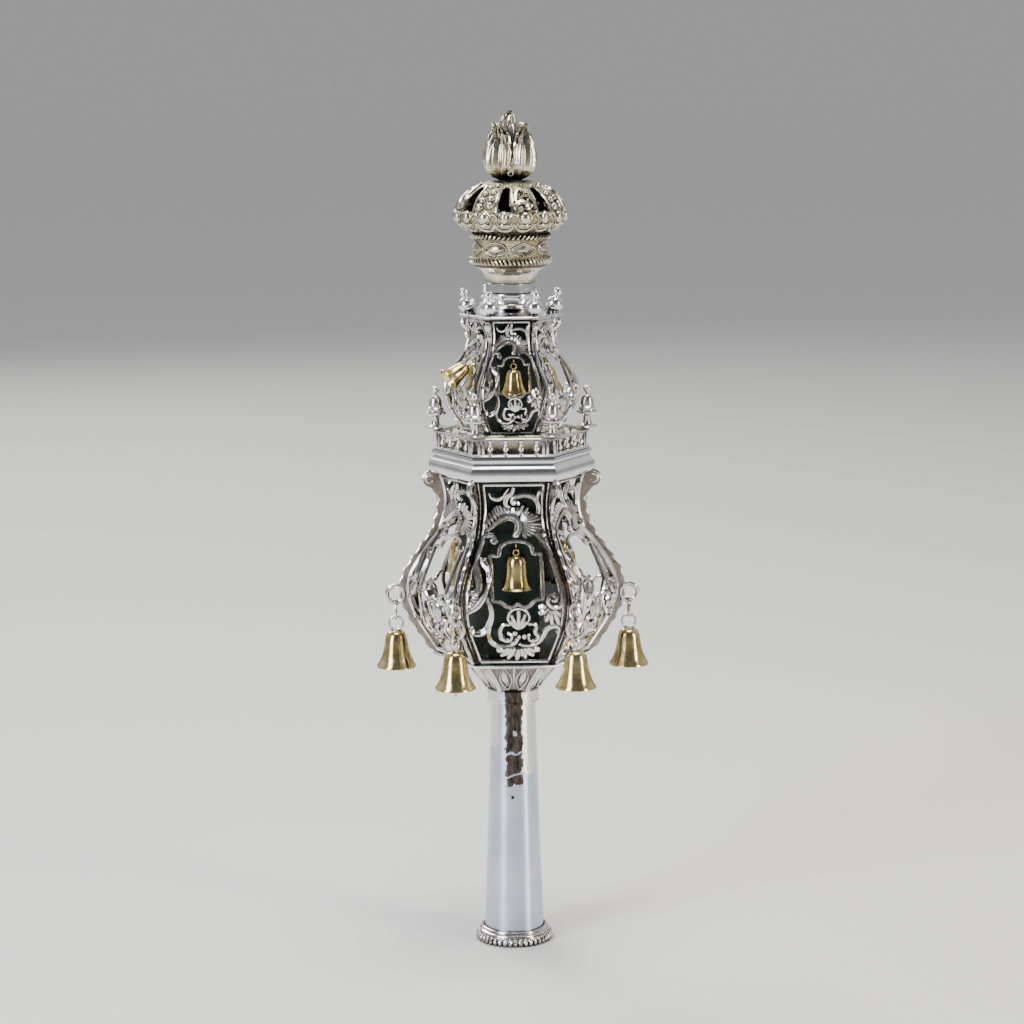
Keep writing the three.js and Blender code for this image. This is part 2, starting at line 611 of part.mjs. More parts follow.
function galleryFinial() {
  const shares = [[0, 0], [1, 0.04], [0.35, 0.125], [0.33, 0.32], [1, 0.42], [0.7, 0.58], [0.23, 0.82], [0.4, 0.91], [0, 1]];
  const base = GALLERY_Z + GALLERY_HEIGHT + SEAT_GAP;
  return turned(raised(scaled(shares, FINIAL_RADIUS, FINIAL_HEIGHT), base), FINIAL_SIDES).translate(FINIAL_REACH, 0, 0);
}

// A six-sided cap that lifts the upper lantern behind the gallery, open below.
function plinth() {
  const profile = [
    [0, PLINTH_HEIGHT],
    [PLINTH_RADIUS - 0.8, PLINTH_HEIGHT],
    [PLINTH_RADIUS, PLINTH_HEIGHT - 0.8],
    [PLINTH_RADIUS, 0],
    [PLINTH_RADIUS - PLINTH_WALL, 0],
    [PLINTH_RADIUS - PLINTH_WALL, PLINTH_HEIGHT - PLINTH_WALL],
    [0, PLINTH_HEIGHT - PLINTH_WALL],
  ];
  return hexagonal(raised(profile, GALLERY_Z));
}

// The upper lantern's roof: a hollow-sided pyramid under a drum, with a double knob at each corner.
function roof() {
  const slope = raised(
    [
      [0, 0],
      [ROOF_RADIUS, 0],
      [ROOF_RADIUS, ROOF_EDGE],
      [ROOF_RADIUS * 0.72, ROOF_EDGE + ROOF_RISE * 0.42],
      [DRUM_RADIUS + 1, ROOF_EDGE + ROOF_RISE],
      [0, ROOF_EDGE + ROOF_RISE],
    ],
    ROOF_Z,
  );
  const drumFoot = ROOF_Z + ROOF_EDGE + ROOF_RISE;
  const drum = [[0, -2], [DRUM_RADIUS, -2], [DRUM_RADIUS, DRUM_HEIGHT], [0, DRUM_HEIGHT]];
  const knob = [
    [0, 0],
    [KNOB_RADIUS * 0.85, KNOB_RADIUS * 0.35],
    [KNOB_RADIUS, KNOB_RADIUS],
    [KNOB_RADIUS * 0.27, KNOB_RADIUS * 2],
    [KNOB_RADIUS * 0.51, KNOB_RADIUS * 2.4],
    [0, KNOB_RADIUS * 2.85],
  ];
  const pieces = [hexagonal(slope), turned(raised(drum, drumFoot), DRUM_SIDES)];
  for (let k = 0; k < SIDES; k += 1) {
    const one = turned(knob, KNOB_SIDES).rotateY(turnOf(KNOB_LEAN));
    pieces.push(one.translate(KNOB_REACH, 0, ROOF_Z + ROOF_EDGE + 0.6).rotateZ(k * SECTOR));
  }
  return join(pieces);
}

// The neck: a ten-sided collar, and above it a flare that carries the crown. Both are open right through.
const neckTurned = (profile) => turned(closed(profile), NECK_SIDES, turnOf(180 / NECK_SIDES));

function neckCollar() {
  const inside = NECK_RADIUS - NECK_WALL * 1.6;
  const profile = [[inside, 0], [NECK_RADIUS, 0], [NECK_RADIUS, NECK_COLLAR_HEIGHT], [inside, NECK_COLLAR_HEIGHT]];
  return neckTurned(raised(profile, NECK_Z));
}

function neckFlare() {
  const lip = 0.9;
  const outer = [0, 1 / 3, 2 / 3, 1].map((share) => [
    THREE.MathUtils.lerp(NECK_RADIUS, FLARE_RADIUS, share ** 1.8),
    share * (FLARE_HEIGHT - lip),
  ]);
  const inner = outer.map(([radius, z]) => [radius - NECK_WALL, z]).reverse();
  const rim = [[FLARE_RADIUS, FLARE_HEIGHT], [FLARE_RADIUS - NECK_WALL, FLARE_HEIGHT]];
  return neckTurned(raised([...outer, ...rim, ...inner], FLARE_Z));
}

// A turned boss whose axis points out to the front.
const boss = (profile, sides, wide, tall) => turned(profile, sides).scale(wide, tall, 1).rotateX(Math.PI / 2);

// The crown's band: a hollow waist between two rope mouldings, with oval and lozenge bosses round it.
function crownBand() {
  const inside = BAND_WAIST - BAND_WALL;
  const top = BAND_HEIGHT;
  const ring = turned(
    closed(
      raised(
        [
          [inside, 0],
          [LOW_ROPE_RADIUS - 0.8, 0],
          [LOW_ROPE_RADIUS, ROPE_HEIGHT / 2],
          [LOW_ROPE_RADIUS - 1, ROPE_HEIGHT],
          [BAND_WAIST, top / 2],
          [HIGH_ROPE_RADIUS - 1, top - ROPE_HEIGHT],
          [HIGH_ROPE_RADIUS, top - ROPE_HEIGHT / 2],
          [HIGH_ROPE_RADIUS - 0.8, top],
          [inside, top],
        ],
        BAND_Z,
      ),
    ),
    DOME_SIDES,
    turnOf(CROWN_FACET),
  );
  const pieces = [ring];
  for (let k = 0; k < CROWN_BANDS; k += 1) {
    const { sides, wide, tall } = k % 2 ? LOZENGE : OVAL;
    const one = boss([[0, -1], [1, -0.2], [0, 1.5]], sides, wide, tall).translate(0, -BAND_WAIST, BAND_Z + top / 2);
    pieces.push(one.rotateZ(turnOf(SLOT_TURN + ((k + 0.5) * 360) / CROWN_BANDS)));
  }
  return join(pieces);
}

// The crown's dome: a slotted shell with a ring of bosses at its widest.
function crownDome() {
  const outer = [
    [BAND_WAIST + 2.4, 0],
    [DOME_RADIUS * 0.95, DOME_WIDEST * 0.51],
    [DOME_RADIUS, DOME_WIDEST],
    [DOME_RADIUS * 0.92, DOME_HEIGHT * 0.58],
    [DOME_RADIUS * 0.68, DOME_HEIGHT * 0.83],
    [DOME_RADIUS * 0.4, DOME_HEIGHT],
  ];
  const inner = outer.slice(0, -1).map(([radius, z], i) => [radius - DOME_WALL, i < 4 ? z : z - DOME_WALL]);
  const shell = [[0, DOME_HEIGHT], ...outer.slice().reverse(), ...inner, [0, DOME_HEIGHT - DOME_WALL]];
  let solid = toSolid(turned(raised(shell, DOME_Z), DOME_SIDES, turnOf(CROWN_FACET)));
  const [foot, head] = SLOT_SPAN.map((share) => DOME_Z + share * DOME_HEIGHT);
  const wide = SLOT_WIDTH / 2;
  const slotShape = new THREE.Shape(
    [[-wide, foot], [wide, foot], [wide * 0.45, head], [-wide * 0.45, head]].map(([x, z]) => new THREE.Vector2(x, z)),
  );
  const slot = new THREE.ExtrudeGeometry(slotShape, { depth: DOME_RADIUS, bevelEnabled: false });
  slot.rotateX(Math.PI / 2).translate(0, -DOME_RADIUS / 3, 0);
  for (let k = 0; k < CROWN_BANDS; k += 1) {
    const turn = turnOf(SLOT_TURN + (k * 360) / CROWN_BANDS);
    solid = solid.subtract(toSolid(slot.clone().rotateZ(turn)));
  }
  for (let k = 0; k < 2 * CROWN_BANDS; k += 1) {
    const stud = boss([[0, -1], [1, -0.4], [0, 1.8]], k % 2 ? 6 : 4, BOSS_RADIUS, BOSS_RADIUS);
    const turn = turnOf(SLOT_TURN + (k * 180) / CROWN_BANDS);
    solid = solid.add(toSolid(stud.translate(0, -DOME_RADIUS, DOME_Z + DOME_WIDEST).rotateZ(turn)));
  }
  return fromSolid(solid);
}

// A bud held by leaves whose tips curl outwards, like a flame.
function flameBud() {
  const bud = [[0, 0], [0.5, 0], [1, 0.2], [0.8, 0.6], [0.45, 0.86], [0, 1]];
  // Each row of a leaf: height share, radius share of its middle, and half its spread in degrees
  const rows = [[0.02, 0.5, 36], [0.16, 0.93, 43], [0.36, 1, 43], [0.6, 0.78, 34], [0.78, 0.78, 5]];
  const sink = 1; // how far a leaf's edges lie below its middle
  const leaf = () => {
    const points = rows.flatMap(([share, radius, spread]) => {
      const row = (inset) =>
        [-1, 0, 1].map((side) => {
          const out = radius * BUD_RADIUS - inset - Math.abs(side) * sink;
          const angle = FRONT + turnOf(spread * side);
          return new THREE.Vector3(out * Math.cos(angle), out * Math.sin(angle), BUD_Z + share * BUD_HEIGHT);
        });
      return [...row(0), ...row(LEAF_WALL).reverse()];
    });
    const around = 6;
    const last = (rows.length - 1) * around;
    const faces = [];
    for (let i = 0; i < last; i += around) {
      for (let a = 0; a < around; a += 1) {
        const b = (a + 1) % around;
        faces.push([i + a, i + b, i + around + b], [i + a, i + around + b, i + around + a]);
      }
    }
    faces.push([1, 0, 5], [1, 5, 4], [2, 1, 4], [2, 4, 3]);
    faces.push([last, last + 1, last + 5], [last + 1, last + 4, last + 5]);
    faces.push([last + 1, last + 2, last + 4], [last + 2, last + 3, last + 4]);
    return meshOf(points, faces);
  };
  const pieces = [turned(raised(scaled(bud, BUD_CORE_RADIUS, BUD_HEIGHT), BUD_Z), 8)];
  for (let k = 0; k < BUD_LEAVES; k += 1) {
    pieces.push(leaf().rotateZ(turnOf(((k + 0.5) * 360) / BUD_LEAVES)));
  }
  return join(pieces);
}

// Assembly, from the foot up
place("foot_ring", footRing(), SILVER);
place("stem", stem(), SILVER);
place("stem_collar", stemCollar(), SILVER);
place("leaf_calyx", leafCalyx(), SILVER);
place("lower_floor", lanternFloor(), SILVER);
place("lower_core", core(LOWER_CORE_RADIUS, LOWER_Z, LOWER_HEIGHT), DARK_SILVER);

const lowerEdge = BUTTRESS_THICKNESS / 2 + SEAT_GAP;
const lowerFace = lanternFace(LOWER, lowerEdge, lowerEdge);
const upperFace = lanternFace(UPPER, RIB_THICKNESS / 2 - 0.3, RIB_THICKNESS / 2 + SEAT_GAP);
const lowerPanel = pierced(lowerFace, PANEL_THICKNESS, { ...OPENINGS, ...SMALL_OPENINGS });
const upperPanel = pierced(upperFace, UPPER_PANEL_THICKNESS, OPENINGS);
const upperSide = join([upperPanel, rib().rotateZ(FRONT - SECTOR / 2)]);
const lowerBell = windowBell(LOWER_WINDOW_BELL);
const upperBell = windowBell(UPPER_WINDOW_BELL);
const straight = (behind) => ({ behind, lean: [0, 0] });
const upperHangs = Array.from({ length: SIDES }, () => straight(UPPER_BELL_BEHIND));
upperHangs[1] = ASKEW;
upperHangs[SIDES - 1] = SWUNG_OUT;

for (let k = 0; k < SIDES; k += 1) {
  const number = k + 1;
  const turn = k * SECTOR;
  place(`lower_panel_${number}`, lowerPanel, SILVER, turn);
  place(`lower_buttress_${number}`, buttress(), SILVER, turn);
  place(`upper_side_${number}`, upperSide, SILVER, turn);
  place(`gallery_finial_${number}`, galleryFinial(), SILVER, turn);
  const bell = place(`corner_bell_${number}`, cornerBell(CLAPPER_DROPS[number]), GILT, turn);
  bell.position.set(EYE_REACH * Math.cos(turn), EYE_REACH * Math.sin(turn), LOWER_Z + EYE_HEIGHT);
  hangBell(`lower_window_bell_${number}`, lowerBell, lowerFace, k, straight(LOWER_BELL_BEHIND));
  hangBell(`upper_window_bell_${number}`, upperBell, upperFace, k, upperHangs[k]);
}

place("cornice", cornice(), SILVER);
place("gallery", gallery(), SILVER);
place("upper_plinth", plinth(), SILVER);
place("upper_core", core(UPPER_CORE_RADIUS, UPPER_Z, UPPER_HEIGHT), DARK_SILVER);
place("upper_roof", roof(), SILVER);
place("neck_collar", neckCollar(), SILVER);
place("neck_flare", neckFlare(), CROWN_SILVER);
place("crown_band", crownBand(), CROWN_SILVER);
place("crown_dome", crownDome(), CROWN_SILVER);
place("flame_bud", flameBud(), CROWN_SILVER);

export default finial;
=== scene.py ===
import math

import bpy
from mathutils import Matrix, Vector


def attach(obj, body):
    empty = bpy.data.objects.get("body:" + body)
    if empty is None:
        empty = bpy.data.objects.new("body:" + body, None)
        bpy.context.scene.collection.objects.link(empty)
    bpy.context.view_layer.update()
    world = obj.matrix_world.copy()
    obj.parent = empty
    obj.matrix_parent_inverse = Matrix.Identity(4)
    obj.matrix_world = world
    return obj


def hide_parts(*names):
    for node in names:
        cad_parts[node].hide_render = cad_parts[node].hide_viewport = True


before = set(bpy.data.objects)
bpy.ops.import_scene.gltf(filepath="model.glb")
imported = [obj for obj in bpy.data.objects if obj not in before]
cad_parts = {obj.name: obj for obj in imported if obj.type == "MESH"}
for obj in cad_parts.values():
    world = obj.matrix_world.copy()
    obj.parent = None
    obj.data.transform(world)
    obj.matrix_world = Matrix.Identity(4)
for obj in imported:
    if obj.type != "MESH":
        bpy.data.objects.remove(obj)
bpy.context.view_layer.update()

# Sizes in millimetres, the same as the solids' own. Pieces are modelled in millimetres and scaled as they settle.
MM = 0.001
SIDES = 6
SIXTH = math.radians(60)
FLAT = math.cos(SIXTH / 2)
GAP = 0.3

STEM_FOOT_RADIUS = 14.5
STEM_TOP_RADIUS = 10.4
STEM_WALL = 0.9
STEM_LENGTH = 124.8
COLLAR_Z, COLLAR_RADIUS, COLLAR_HEIGHT = 118.8, 12.5, 6.4
CALYX_Z, CALYX_HEIGHT, CALYX_FOOT_RADIUS, CALYX_TOP_RADIUS = 125.5, 15.7, 12.8, 25.0
FLOOR_Z, FLOOR_RADIUS, FLOOR_THICKNESS = 141.5, 38.5, 1.8
LOWER_Z, LOWER_HEIGHT = 143.3, 87.0
CORNICE_Z, CORNICE_RADIUS, CORNICE_HEIGHT = 230.3, 39.6, 10.9
GALLERY_Z, GALLERY_RADIUS, GALLERY_HEIGHT = 241.5, 37.0, 8.8
FINIAL_REACH = 35.9
UPPER_Z, UPPER_HEIGHT = 250.3, 54.0
ROOF_Z, ROOF_RADIUS, DRUM_RADIUS = 304.3, 24.3, 11.9
NECK_Z, NECK_RADIUS = 315.6, 11.7
FLARE_Z, FLARE_RADIUS, FLARE_HEIGHT = 320.3, 16.6, 8.2
BAND_Z, BAND_HEIGHT, BAND_WAIST = 328.8, 15.0, 15.8
LOW_ROPE_RADIUS, HIGH_ROPE_RADIUS = 19.6, 18.8
DOME_Z, DOME_HEIGHT, DOME_RADIUS, DOME_WIDEST = 344.1, 23.4, 25.4, 7.4
SLOT_TURN = math.radians(-8)
BUD_Z, BUD_HEIGHT, BUD_RADIUS = 367.8, 32.2, 12.4

EYE_REACH, EYE_Z, EYE_RADIUS, EYE_WIRE = 55.9, LOWER_Z + 27.8, 4.1, 1.1
LINK_RADIUS, LINK_WIRE, LOOP_RADIUS, LOOP_WIRE = 4.9, 0.65, 3.3, 0.6
LINK_Z = EYE_Z + EYE_WIRE + LINK_WIRE + GAP - EYE_RADIUS - LINK_RADIUS
LOOP_Z = LINK_Z - LINK_RADIUS + LINK_WIRE + LOOP_WIRE - 0.15 - LOOP_RADIUS
PANEL_THICKNESS, UPPER_PANEL_THICKNESS = 1.4, 1.1
BUTTRESS_THICKNESS, RIB_THICKNESS = 2.2, 2.2


# Colours are picked in sRGB and turned to the linear values that shaders take.
def tone(code):
    parts = [int(code[i : i + 2], 16) / 255 for i in (0, 2, 4)]
    return [p / 12.92 if p <= 0.04045 else ((p + 0.055) / 1.055) ** 2.4 for p in parts] + [1]


def grain(size):
    """Noise scale for features of that size in millimetres."""
    return 1 / (size * MM)


def add_node(tree, kind, inputs=None, **settings):
    made = tree.nodes.new("ShaderNode" + kind)
    for name, value in settings.items():
        setattr(made, name, value)
    for socket, value in (inputs or {}).items():
        if isinstance(value, bpy.types.NodeSocket):
            tree.links.new(value, made.inputs[socket])
        else:
            made.inputs[socket].default_value = value
    return made


def new_finish(name):
    finish = bpy.data.materials.new(name)
    finish.use_nodes = True
    tree = finish.node_tree
    tree.nodes.clear()
    shader = add_node(tree, "BsdfPrincipled", {"Metallic": 1.0})
    output = add_node(tree, "OutputMaterial")
    tree.links.new(shader.outputs["BSDF"], output.inputs["Surface"])
    return finish, tree, shader


def blend_colour(tree, factor, first, second):
    return add_node(tree, "Mix", {0: factor, 6: first, 7: second}, data_type="RGBA").outputs[2]


def spread(tree, value, low, high, to_low=0.0, to_high=1.0):
    sockets = {"Value": value, "From Min": low, "From Max": high, "To Min": to_low, "To Max": to_high}
    return add_node(tree, "MapRange", sockets).outputs["Result"]


def chased_metal(name, bright, warm, tarnish_and_shade, smoothness, cloud, recess=4.5, hollow=(0.25, 0.8), relief=0.12, stipple=0.0):
    """Cast and chased metal: bright on its ridges, with dark sulphide and painted shade in its recesses, and faint
    clouds.

    With a stipple, the ground inside that radius from the axis, in millimetres, is matted with a punch.
    """
    finish, tree, shader = new_finish(name)
    where = add_node(tree, "TexCoord").outputs["Object"]
    clouds = add_node(tree, "TexNoise", {"Vector": where, "Scale": grain(cloud), "Detail": 4.0}).outputs["Fac"]
    # Ambient occlusion darkens the colour in recesses and between parts: real sulphide there, and painted shade as
    # well.
    depth = add_node(tree, "AmbientOcclusion", {"Distance": recess * MM}, samples=6).outputs["AO"]
    shade = spread(tree, depth, hollow[0], hollow[1], 0.92, 0.0)
    cloudy = spread(tree, clouds, 0.35, 0.7, 0.0, 0.75)
    metal = blend_colour(tree, cloudy, tone(bright), tone(warm))
    tree.links.new(blend_colour(tree, shade, metal, tone(tarnish_and_shade)), shader.inputs["Base Color"])
    worn = add_node(tree, "TexNoise", {"Vector": where, "Scale": grain(1.6), "Detail": 3.0}).outputs["Fac"]
    gloss = spread(tree, worn, 0.3, 0.7, smoothness[0], smoothness[1])
    tree.links.new(gloss, shader.inputs["Roughness"])
    bump = add_node(tree, "Bump", {"Height": worn, "Strength": 0.25, "Distance": relief * MM})
    if stipple:
        flat = add_node(tree, "Mapping", {"Vector": where, "Scale": (1, 1, 0)}).outputs["Vector"]
        reach = add_node(tree, "VectorMath", {0: flat}, operation="LENGTH").outputs["Value"]
        ground = spread(tree, reach, (stipple - 0.15) * MM, (stipple + 0.1) * MM, 1.0, 0.0)
        dots = add_node(tree, "TexVoronoi", {"Vector": where, "Scale": grain(0.75)}).outputs["Distance"]
        sockets = {"Height": dots, "Strength": ground, "Distance": 0.35 * MM, "Normal": bump.outputs["Normal"]}
        bump = add_node(tree, "Bump", sockets)
    tree.links.new(bump.outputs["Normal"], shader.inputs["Normal"])
    return finish


# Cast and chased silver: polished ridges reflect the room, and the hollows keep brown-black sulphide, deepened with
# painted shade.
SILVER = chased_metal("chased_silver", "edebe8", "c4b8ac", "19120e", (0.1, 0.24), 8, 5.0, (0.35, 0.92), 0.18)
# The ground behind the scrolls is the same casting, duller where no polishing cloth reaches.
GROUND_SILVER = chased_metal("dull_ground_silver", "b3aba3", "7f766d", "15100c", (0.2, 0.36), 5, 5.0, (0.35, 0.95), 0.3)
# Plain rolled and planished silver of mouldings and plates: cleaner, with a faint ripple.
PLAIN_SILVER = chased_metal("planished_silver", "f1f1f2", "d3d0cf", "33291f", (0.1, 0.2), 18, 3.0, (0.15, 0.7))
# The crown's silver is yellower, with lacquer left on it.
CROWN_SILVER = chased_metal("yellowed_silver", "e6e0cb", "b3a583", "171108", (0.13, 0.28), 6, 6.0, (0.4, 0.97), 0.35)
# The ground of the crown's band and dome is matted with a punch and darker.
MATTED_SILVER = chased_metal("matted_silver", "b5ab8d", "81765a", "120c05", (0.24, 0.42), 5, 5.0, (0.4, 0.97), 0.3, 40)
# The flat faces of the corner webs are the same cast silver, given a darker and browner colour than their rims.
DULL_SILVER = chased_metal("dulled_web_silver", "a39a90", "70675d", "1a130e", (0.14, 0.3), 5, 5.0, (0.3, 0.9), 0.25)
# Old fire gilding on the bells: pale gold, rubbed lighter in places, and darker inside with painted shade.
GILT = chased_metal("rubbed_gilding", "e8d69c", "bfa35a", "3b2c10", (0.1, 0.24), 7, 8.0, (0.1, 0.75))
# The inner drums are polished silver whose colour is a painted dark green-black reflection of the shaded inside of the
# lanterns.
PAINTED_REFLECTION_SILVER = chased_metal("inner_silver_painted_dark_reflection", "2c3531", "191f1f", "090a0a", (0.22, 0.36), 20, 6.0, (0.0, 0.5))
# The inside of the crown, and the bud's opening, are painted dark brown shade.
PAINTED_SHADE_INSIDE = chased_metal("painted_shade_inside", "3a2d1e", "221a12", "0c0906", (0.35, 0.5), 6, 6.0)


def stem_finish_with_painted_reflections():
    """Drawn silver tube, satin, with a painted dark brown reflection and painted pale highlights on the front of its
    upper part.
    """
    finish, tree, shader = new_finish("stem_silver_with_painted_reflections")
    where = add_node(tree, "TexCoord").outputs["Object"]

    def noise(size, detail=3.0, squeeze=1.0):
        stretched = add_node(tree, "Mapping", {"Vector": where, "Scale": (1, 1, squeeze)}).outputs["Vector"]
        return add_node(tree, "TexNoise", {"Vector": stretched, "Scale": grain(size), "Detail": detail}).outputs["Fac"]

    def combine(operation, first, second=0.0, third=0.0):
        return add_node(tree, "Math", {0: first, 1: second, 2: third}, operation=operation).outputs[0]

    def within(value, middle, reach):
        return combine("COMPARE", value, middle * MM, reach * MM)

    def all_of(*masks):
        whole = masks[0]
        for mask in masks[1:]:
            whole = combine("MULTIPLY", whole, mask)
        return whole

    parts = add_node(tree, "SeparateXYZ", {0: where})
    y = parts.outputs[1]
    x = combine("MULTIPLY_ADD", combine("SUBTRACT", noise(3.2), 0.5), 5.0 * MM, parts.outputs[0])
    z = combine("MULTIPLY_ADD", combine("SUBTRACT", noise(4.5), 0.5), 9.0 * MM, parts.outputs[2])
    # Only the front, towards the camera, carries these marks. The brown mark with its small spots and gaps is a painted
    # dark reflection; the pale marks right and left of it are painted highlights.
    front = combine("LESS_THAN", y, -1.0 * MM)
    gaps = [combine("SUBTRACT", 1.0, within(z, at, half)) for at, half in ((94.6, 0.8), (83.8, 0.7))]
    spot = combine("SUBTRACT", 1.0, all_of(within(x, 0, 1.0), within(z, 104.5, 1.0)))
    dark_reflection_patch = all_of(within(x, 0, 4.1), combine("GREATER_THAN", z, 79.3 * MM), front, spot, *gaps)
    dark_reflection_fleck = all_of(within(parts.outputs[0], -0.8, 0.7), within(parts.outputs[2], 73.4, 0.8), front)
    brown = combine("MAXIMUM", dark_reflection_patch, dark_reflection_fleck)
    slant = combine("ABSOLUTE", combine("SUBTRACT", x, 7.0 * MM))
    right = all_of(within(x, 8.6, 4.4), combine("GREATER_THAN", combine("SUBTRACT", z, slant), 82.5 * MM), front)
    left = all_of(within(x, -9.6, 2.4), combine("GREATER_THAN", z, 98.5 * MM), front)
    painted_highlights = combine("MAXIMUM", right, left)
    metal = blend_colour(tree, spread(tree, noise(25), 0.35, 0.7), tone("cfd6e4"), tone("b4bed2"))
    dark_reflection_tone = blend_colour(tree, spread(tree, noise(1.5, 3.0, 0.3), 0.35, 0.65), tone("37312c"), tone("6a6058"))
    highlit_metal = blend_colour(tree, painted_highlights, metal, tone("f4f0e8"))
    tree.links.new(blend_colour(tree, brown, highlit_metal, dark_reflection_tone), shader.inputs["Base Color"])
    tree.links.new(spread(tree, combine("MAXIMUM", brown, painted_highlights), 0.0, 1.0, 0.3, 0.45), shader.inputs["Roughness"])
    bump = add_node(tree, "Bump", {"Height": noise(0.9, 2.0, 0.03), "Strength": 0.1, "Distance": 0.05 * MM})
    tree.links.new(bump.outputs["Normal"], shader.inputs["Normal"])
    around = add_node(tree, "Tangent", direction_type="RADIAL", axis="Z").outputs["Tangent"]
    tree.links.new(around, shader.inputs["Tangent"])
    shader.inputs["Anisotropic"].default_value = 0.8
    shader.inputs["Anisotropic Rotation"].default_value = 0.25
    return finish


STEM_SILVER = stem_finish_with_painted_reflections()


# Modelling helpers
def choose(piece):
    bpy.ops.object.select_all(action="DESELECT")
    piece.select_set(True)
    bpy.context.view_layer.objects.active = piece


def join(pieces):
    bpy.ops.object.select_all(action="DESELECT")
    for piece in pieces:
        piece.select_set(True)
    bpy.context.view_layer.objects.active = pieces[0]
    bpy.ops.object.join()
    return bpy.context.object


def finished(piece, finish):
    piece.data.materials.clear()
    piece.data.materials.append(finish)
    return piece


def copy_of(piece, matrix=Matrix.Identity(4)):
    twin = piece.copy()
    twin.data = piece.data.copy()
    twin.data.transform(matrix)
    bpy.context.collection.objects.link(twin)
    return twin


def repeat(piece, matrices):
    """Copies a shape to several places and joins the copies. The first shape itself is used up."""
    copies = [copy_of(piece, matrix) for matrix in matrices]
    bpy.data.objects.remove(piece)
    return join(copies)


def turn_about_z(angle):
    return Matrix.Rotation(angle, 4, "Z")


def dress(piece, name, finish, nodes):
    """Without a finish it keeps those that its parts were given."""
    piece.name = piece.data.name = name
    if finish:
        finished(piece, finish)
    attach(piece, "root")
    if nodes:
        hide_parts(*nodes)
    return piece


def settle(piece, name, finish, nodes=(), angle=35):
    """Brings a piece modelled in millimetres to its place in metres, closes its seams and smooths it."""
    choose(piece)
    piece.scale = (MM, MM, MM)
    bpy.ops.object.transform_apply(location=True, rotation=True, scale=True)
    bpy.ops.object.mode_set(mode="EDIT")
    bpy.ops.mesh.select_all(action="SELECT")
    bpy.ops.mesh.remove_doubles(threshold=0.004 * MM)
    bpy.ops.mesh.normals_make_consistent(inside=False)
    bpy.ops.object.mode_set(mode="OBJECT")
    bpy.ops.object.shade_smooth_by_angle(angle=math.radians(angle))
    return dress(piece, name, finish, nodes)


def settle_round(piece, family, finish, angle=35):
    """Settles the first piece of a ring of six and turns a copy into each other place."""
    first = settle(piece, f"{family}_dressed_1", finish, [f"{family}_1"], angle)
    for k in range(1, SIDES):
        twin = copy_of(first, turn_about_z(k * SIXTH))
        dress(twin, f"{family}_dressed_{k + 1}", finish, [f"{family}_{k + 1}"])


def turned(profile, sides, start=0.0):
    """Lofts rings of [radius, height] from a circle, as on a lathe. A profile that ends as it began is a hoop."""
    hoop = profile[0] == profile[-1]
    pointed = profile[0][0] == 0
    radius, height = profile[1] if pointed else profile[0]
    fill = "TRIFAN" if pointed else "NOTHING" if hoop else "NGON"
    bpy.ops.object.select_all(action="DESELECT")
    bpy.ops.mesh.primitive_circle_add(
        vertices=sides, radius=radius, fill_type=fill, location=(0, 0, height), rotation=(0, 0, math.radians(start))
    )
    piece = bpy.context.object
    bpy.ops.object.transform_apply(location=True, rotation=True, scale=True)
    if pointed:
        middle = min(piece.data.vertices, key=lambda v: v.co.xy.length)
        middle.co.z = profile[0][1]
    bpy.ops.object.mode_set(mode="EDIT")
    bpy.ops.mesh.select_all(action="SELECT")
    for next_radius, next_height in profile[2 if pointed else 1 :]:
        rise = (0, 0, next_height - height)
        bpy.ops.mesh.extrude_region_move(TRANSFORM_OT_translate={"value": rise})
        if next_radius == 0:
            bpy.ops.mesh.merge(type="CENTER")
            break
        share = next_radius / radius
        bpy.ops.transform.resize(value=(share, share, 1), center_override=(0, 0, next_height))
        radius, height = next_radius, next_height
    bpy.ops.mesh.select_all(action="SELECT")
    bpy.ops.mesh.remove_doubles(threshold=0.005)
    bpy.ops.mesh.normals_make_consistent(inside=False)
    bpy.ops.object.mode_set(mode="OBJECT")
    return piece


def hexagonal(profile):
    return turned(profile, SIDES, 30)


def raised(profile, base):
    return [(radius, base + height) for radius, height in profile]


def scaled(profile, radius, height):
    return [(r * radius, z * height) for r, z in profile]


def ball(radius, stretch=(1, 1, 1), segments=12, rings=8):
    bpy.ops.object.select_all(action="DESELECT")
    bpy.ops.mesh.primitive_uv_sphere_add(segments=segments, ring_count=rings, radius=radius)
    piece = bpy.context.object
    piece.scale = stretch
    bpy.ops.object.transform_apply(location=True, rotation=True, scale=True)
    return piece


def wire_ring(radius, wire, location, upright=True, across=False):
    bpy.ops.object.select_all(action="DESELECT")
    turn = (math.radians(90), 0, math.radians(90) if across else 0) if upright else (0, 0, 0)
    bpy.ops.mesh.primitive_torus_add(
        major_radius=radius, minor_radius=wire, major_segments=36, minor_segments=10, location=location, rotation=turn
    )
    piece = bpy.context.object
    bpy.ops.object.transform_apply(location=True, rotation=True, scale=True)
    return piece


def strands(paths, steps=5, facets=1):
    """Rods along smooth paths. Each path is (points, radii, is it closed); radii are spread along the points."""
    bpy.ops.object.select_all(action="DESELECT")
    bpy.ops.curve.primitive_bezier_curve_add()
    piece = bpy.context.object
    curve = piece.data
    curve.splines.clear()
    for points, radii, is_closed in paths:
        spline = curve.splines.new("BEZIER")
        spline.bezier_points.add(len(points) - 1)
        spline.use_cyclic_u = is_closed
        for i, (knot, point) in enumerate(zip(spline.bezier_points, points)):
            knot.co = point
            knot.handle_left_type = knot.handle_right_type = "AUTO"
            share = i / (len(points) - 1) * (len(radii) - 1)
            low = min(int(share), len(radii) - 2) if len(radii) > 1 else 0
            high = min(low + 1, len(radii) - 1)
            knot.radius = radii[low] + (radii[high] - radii[low]) * (share - low)
    curve.dimensions = "3D"
    curve.resolution_u = steps
    curve.bevel_depth = 1.0
    curve.bevel_resolution = facets
    curve.use_fill_caps = True
    bpy.ops.object.convert(target="MESH")
    return bpy.context.object


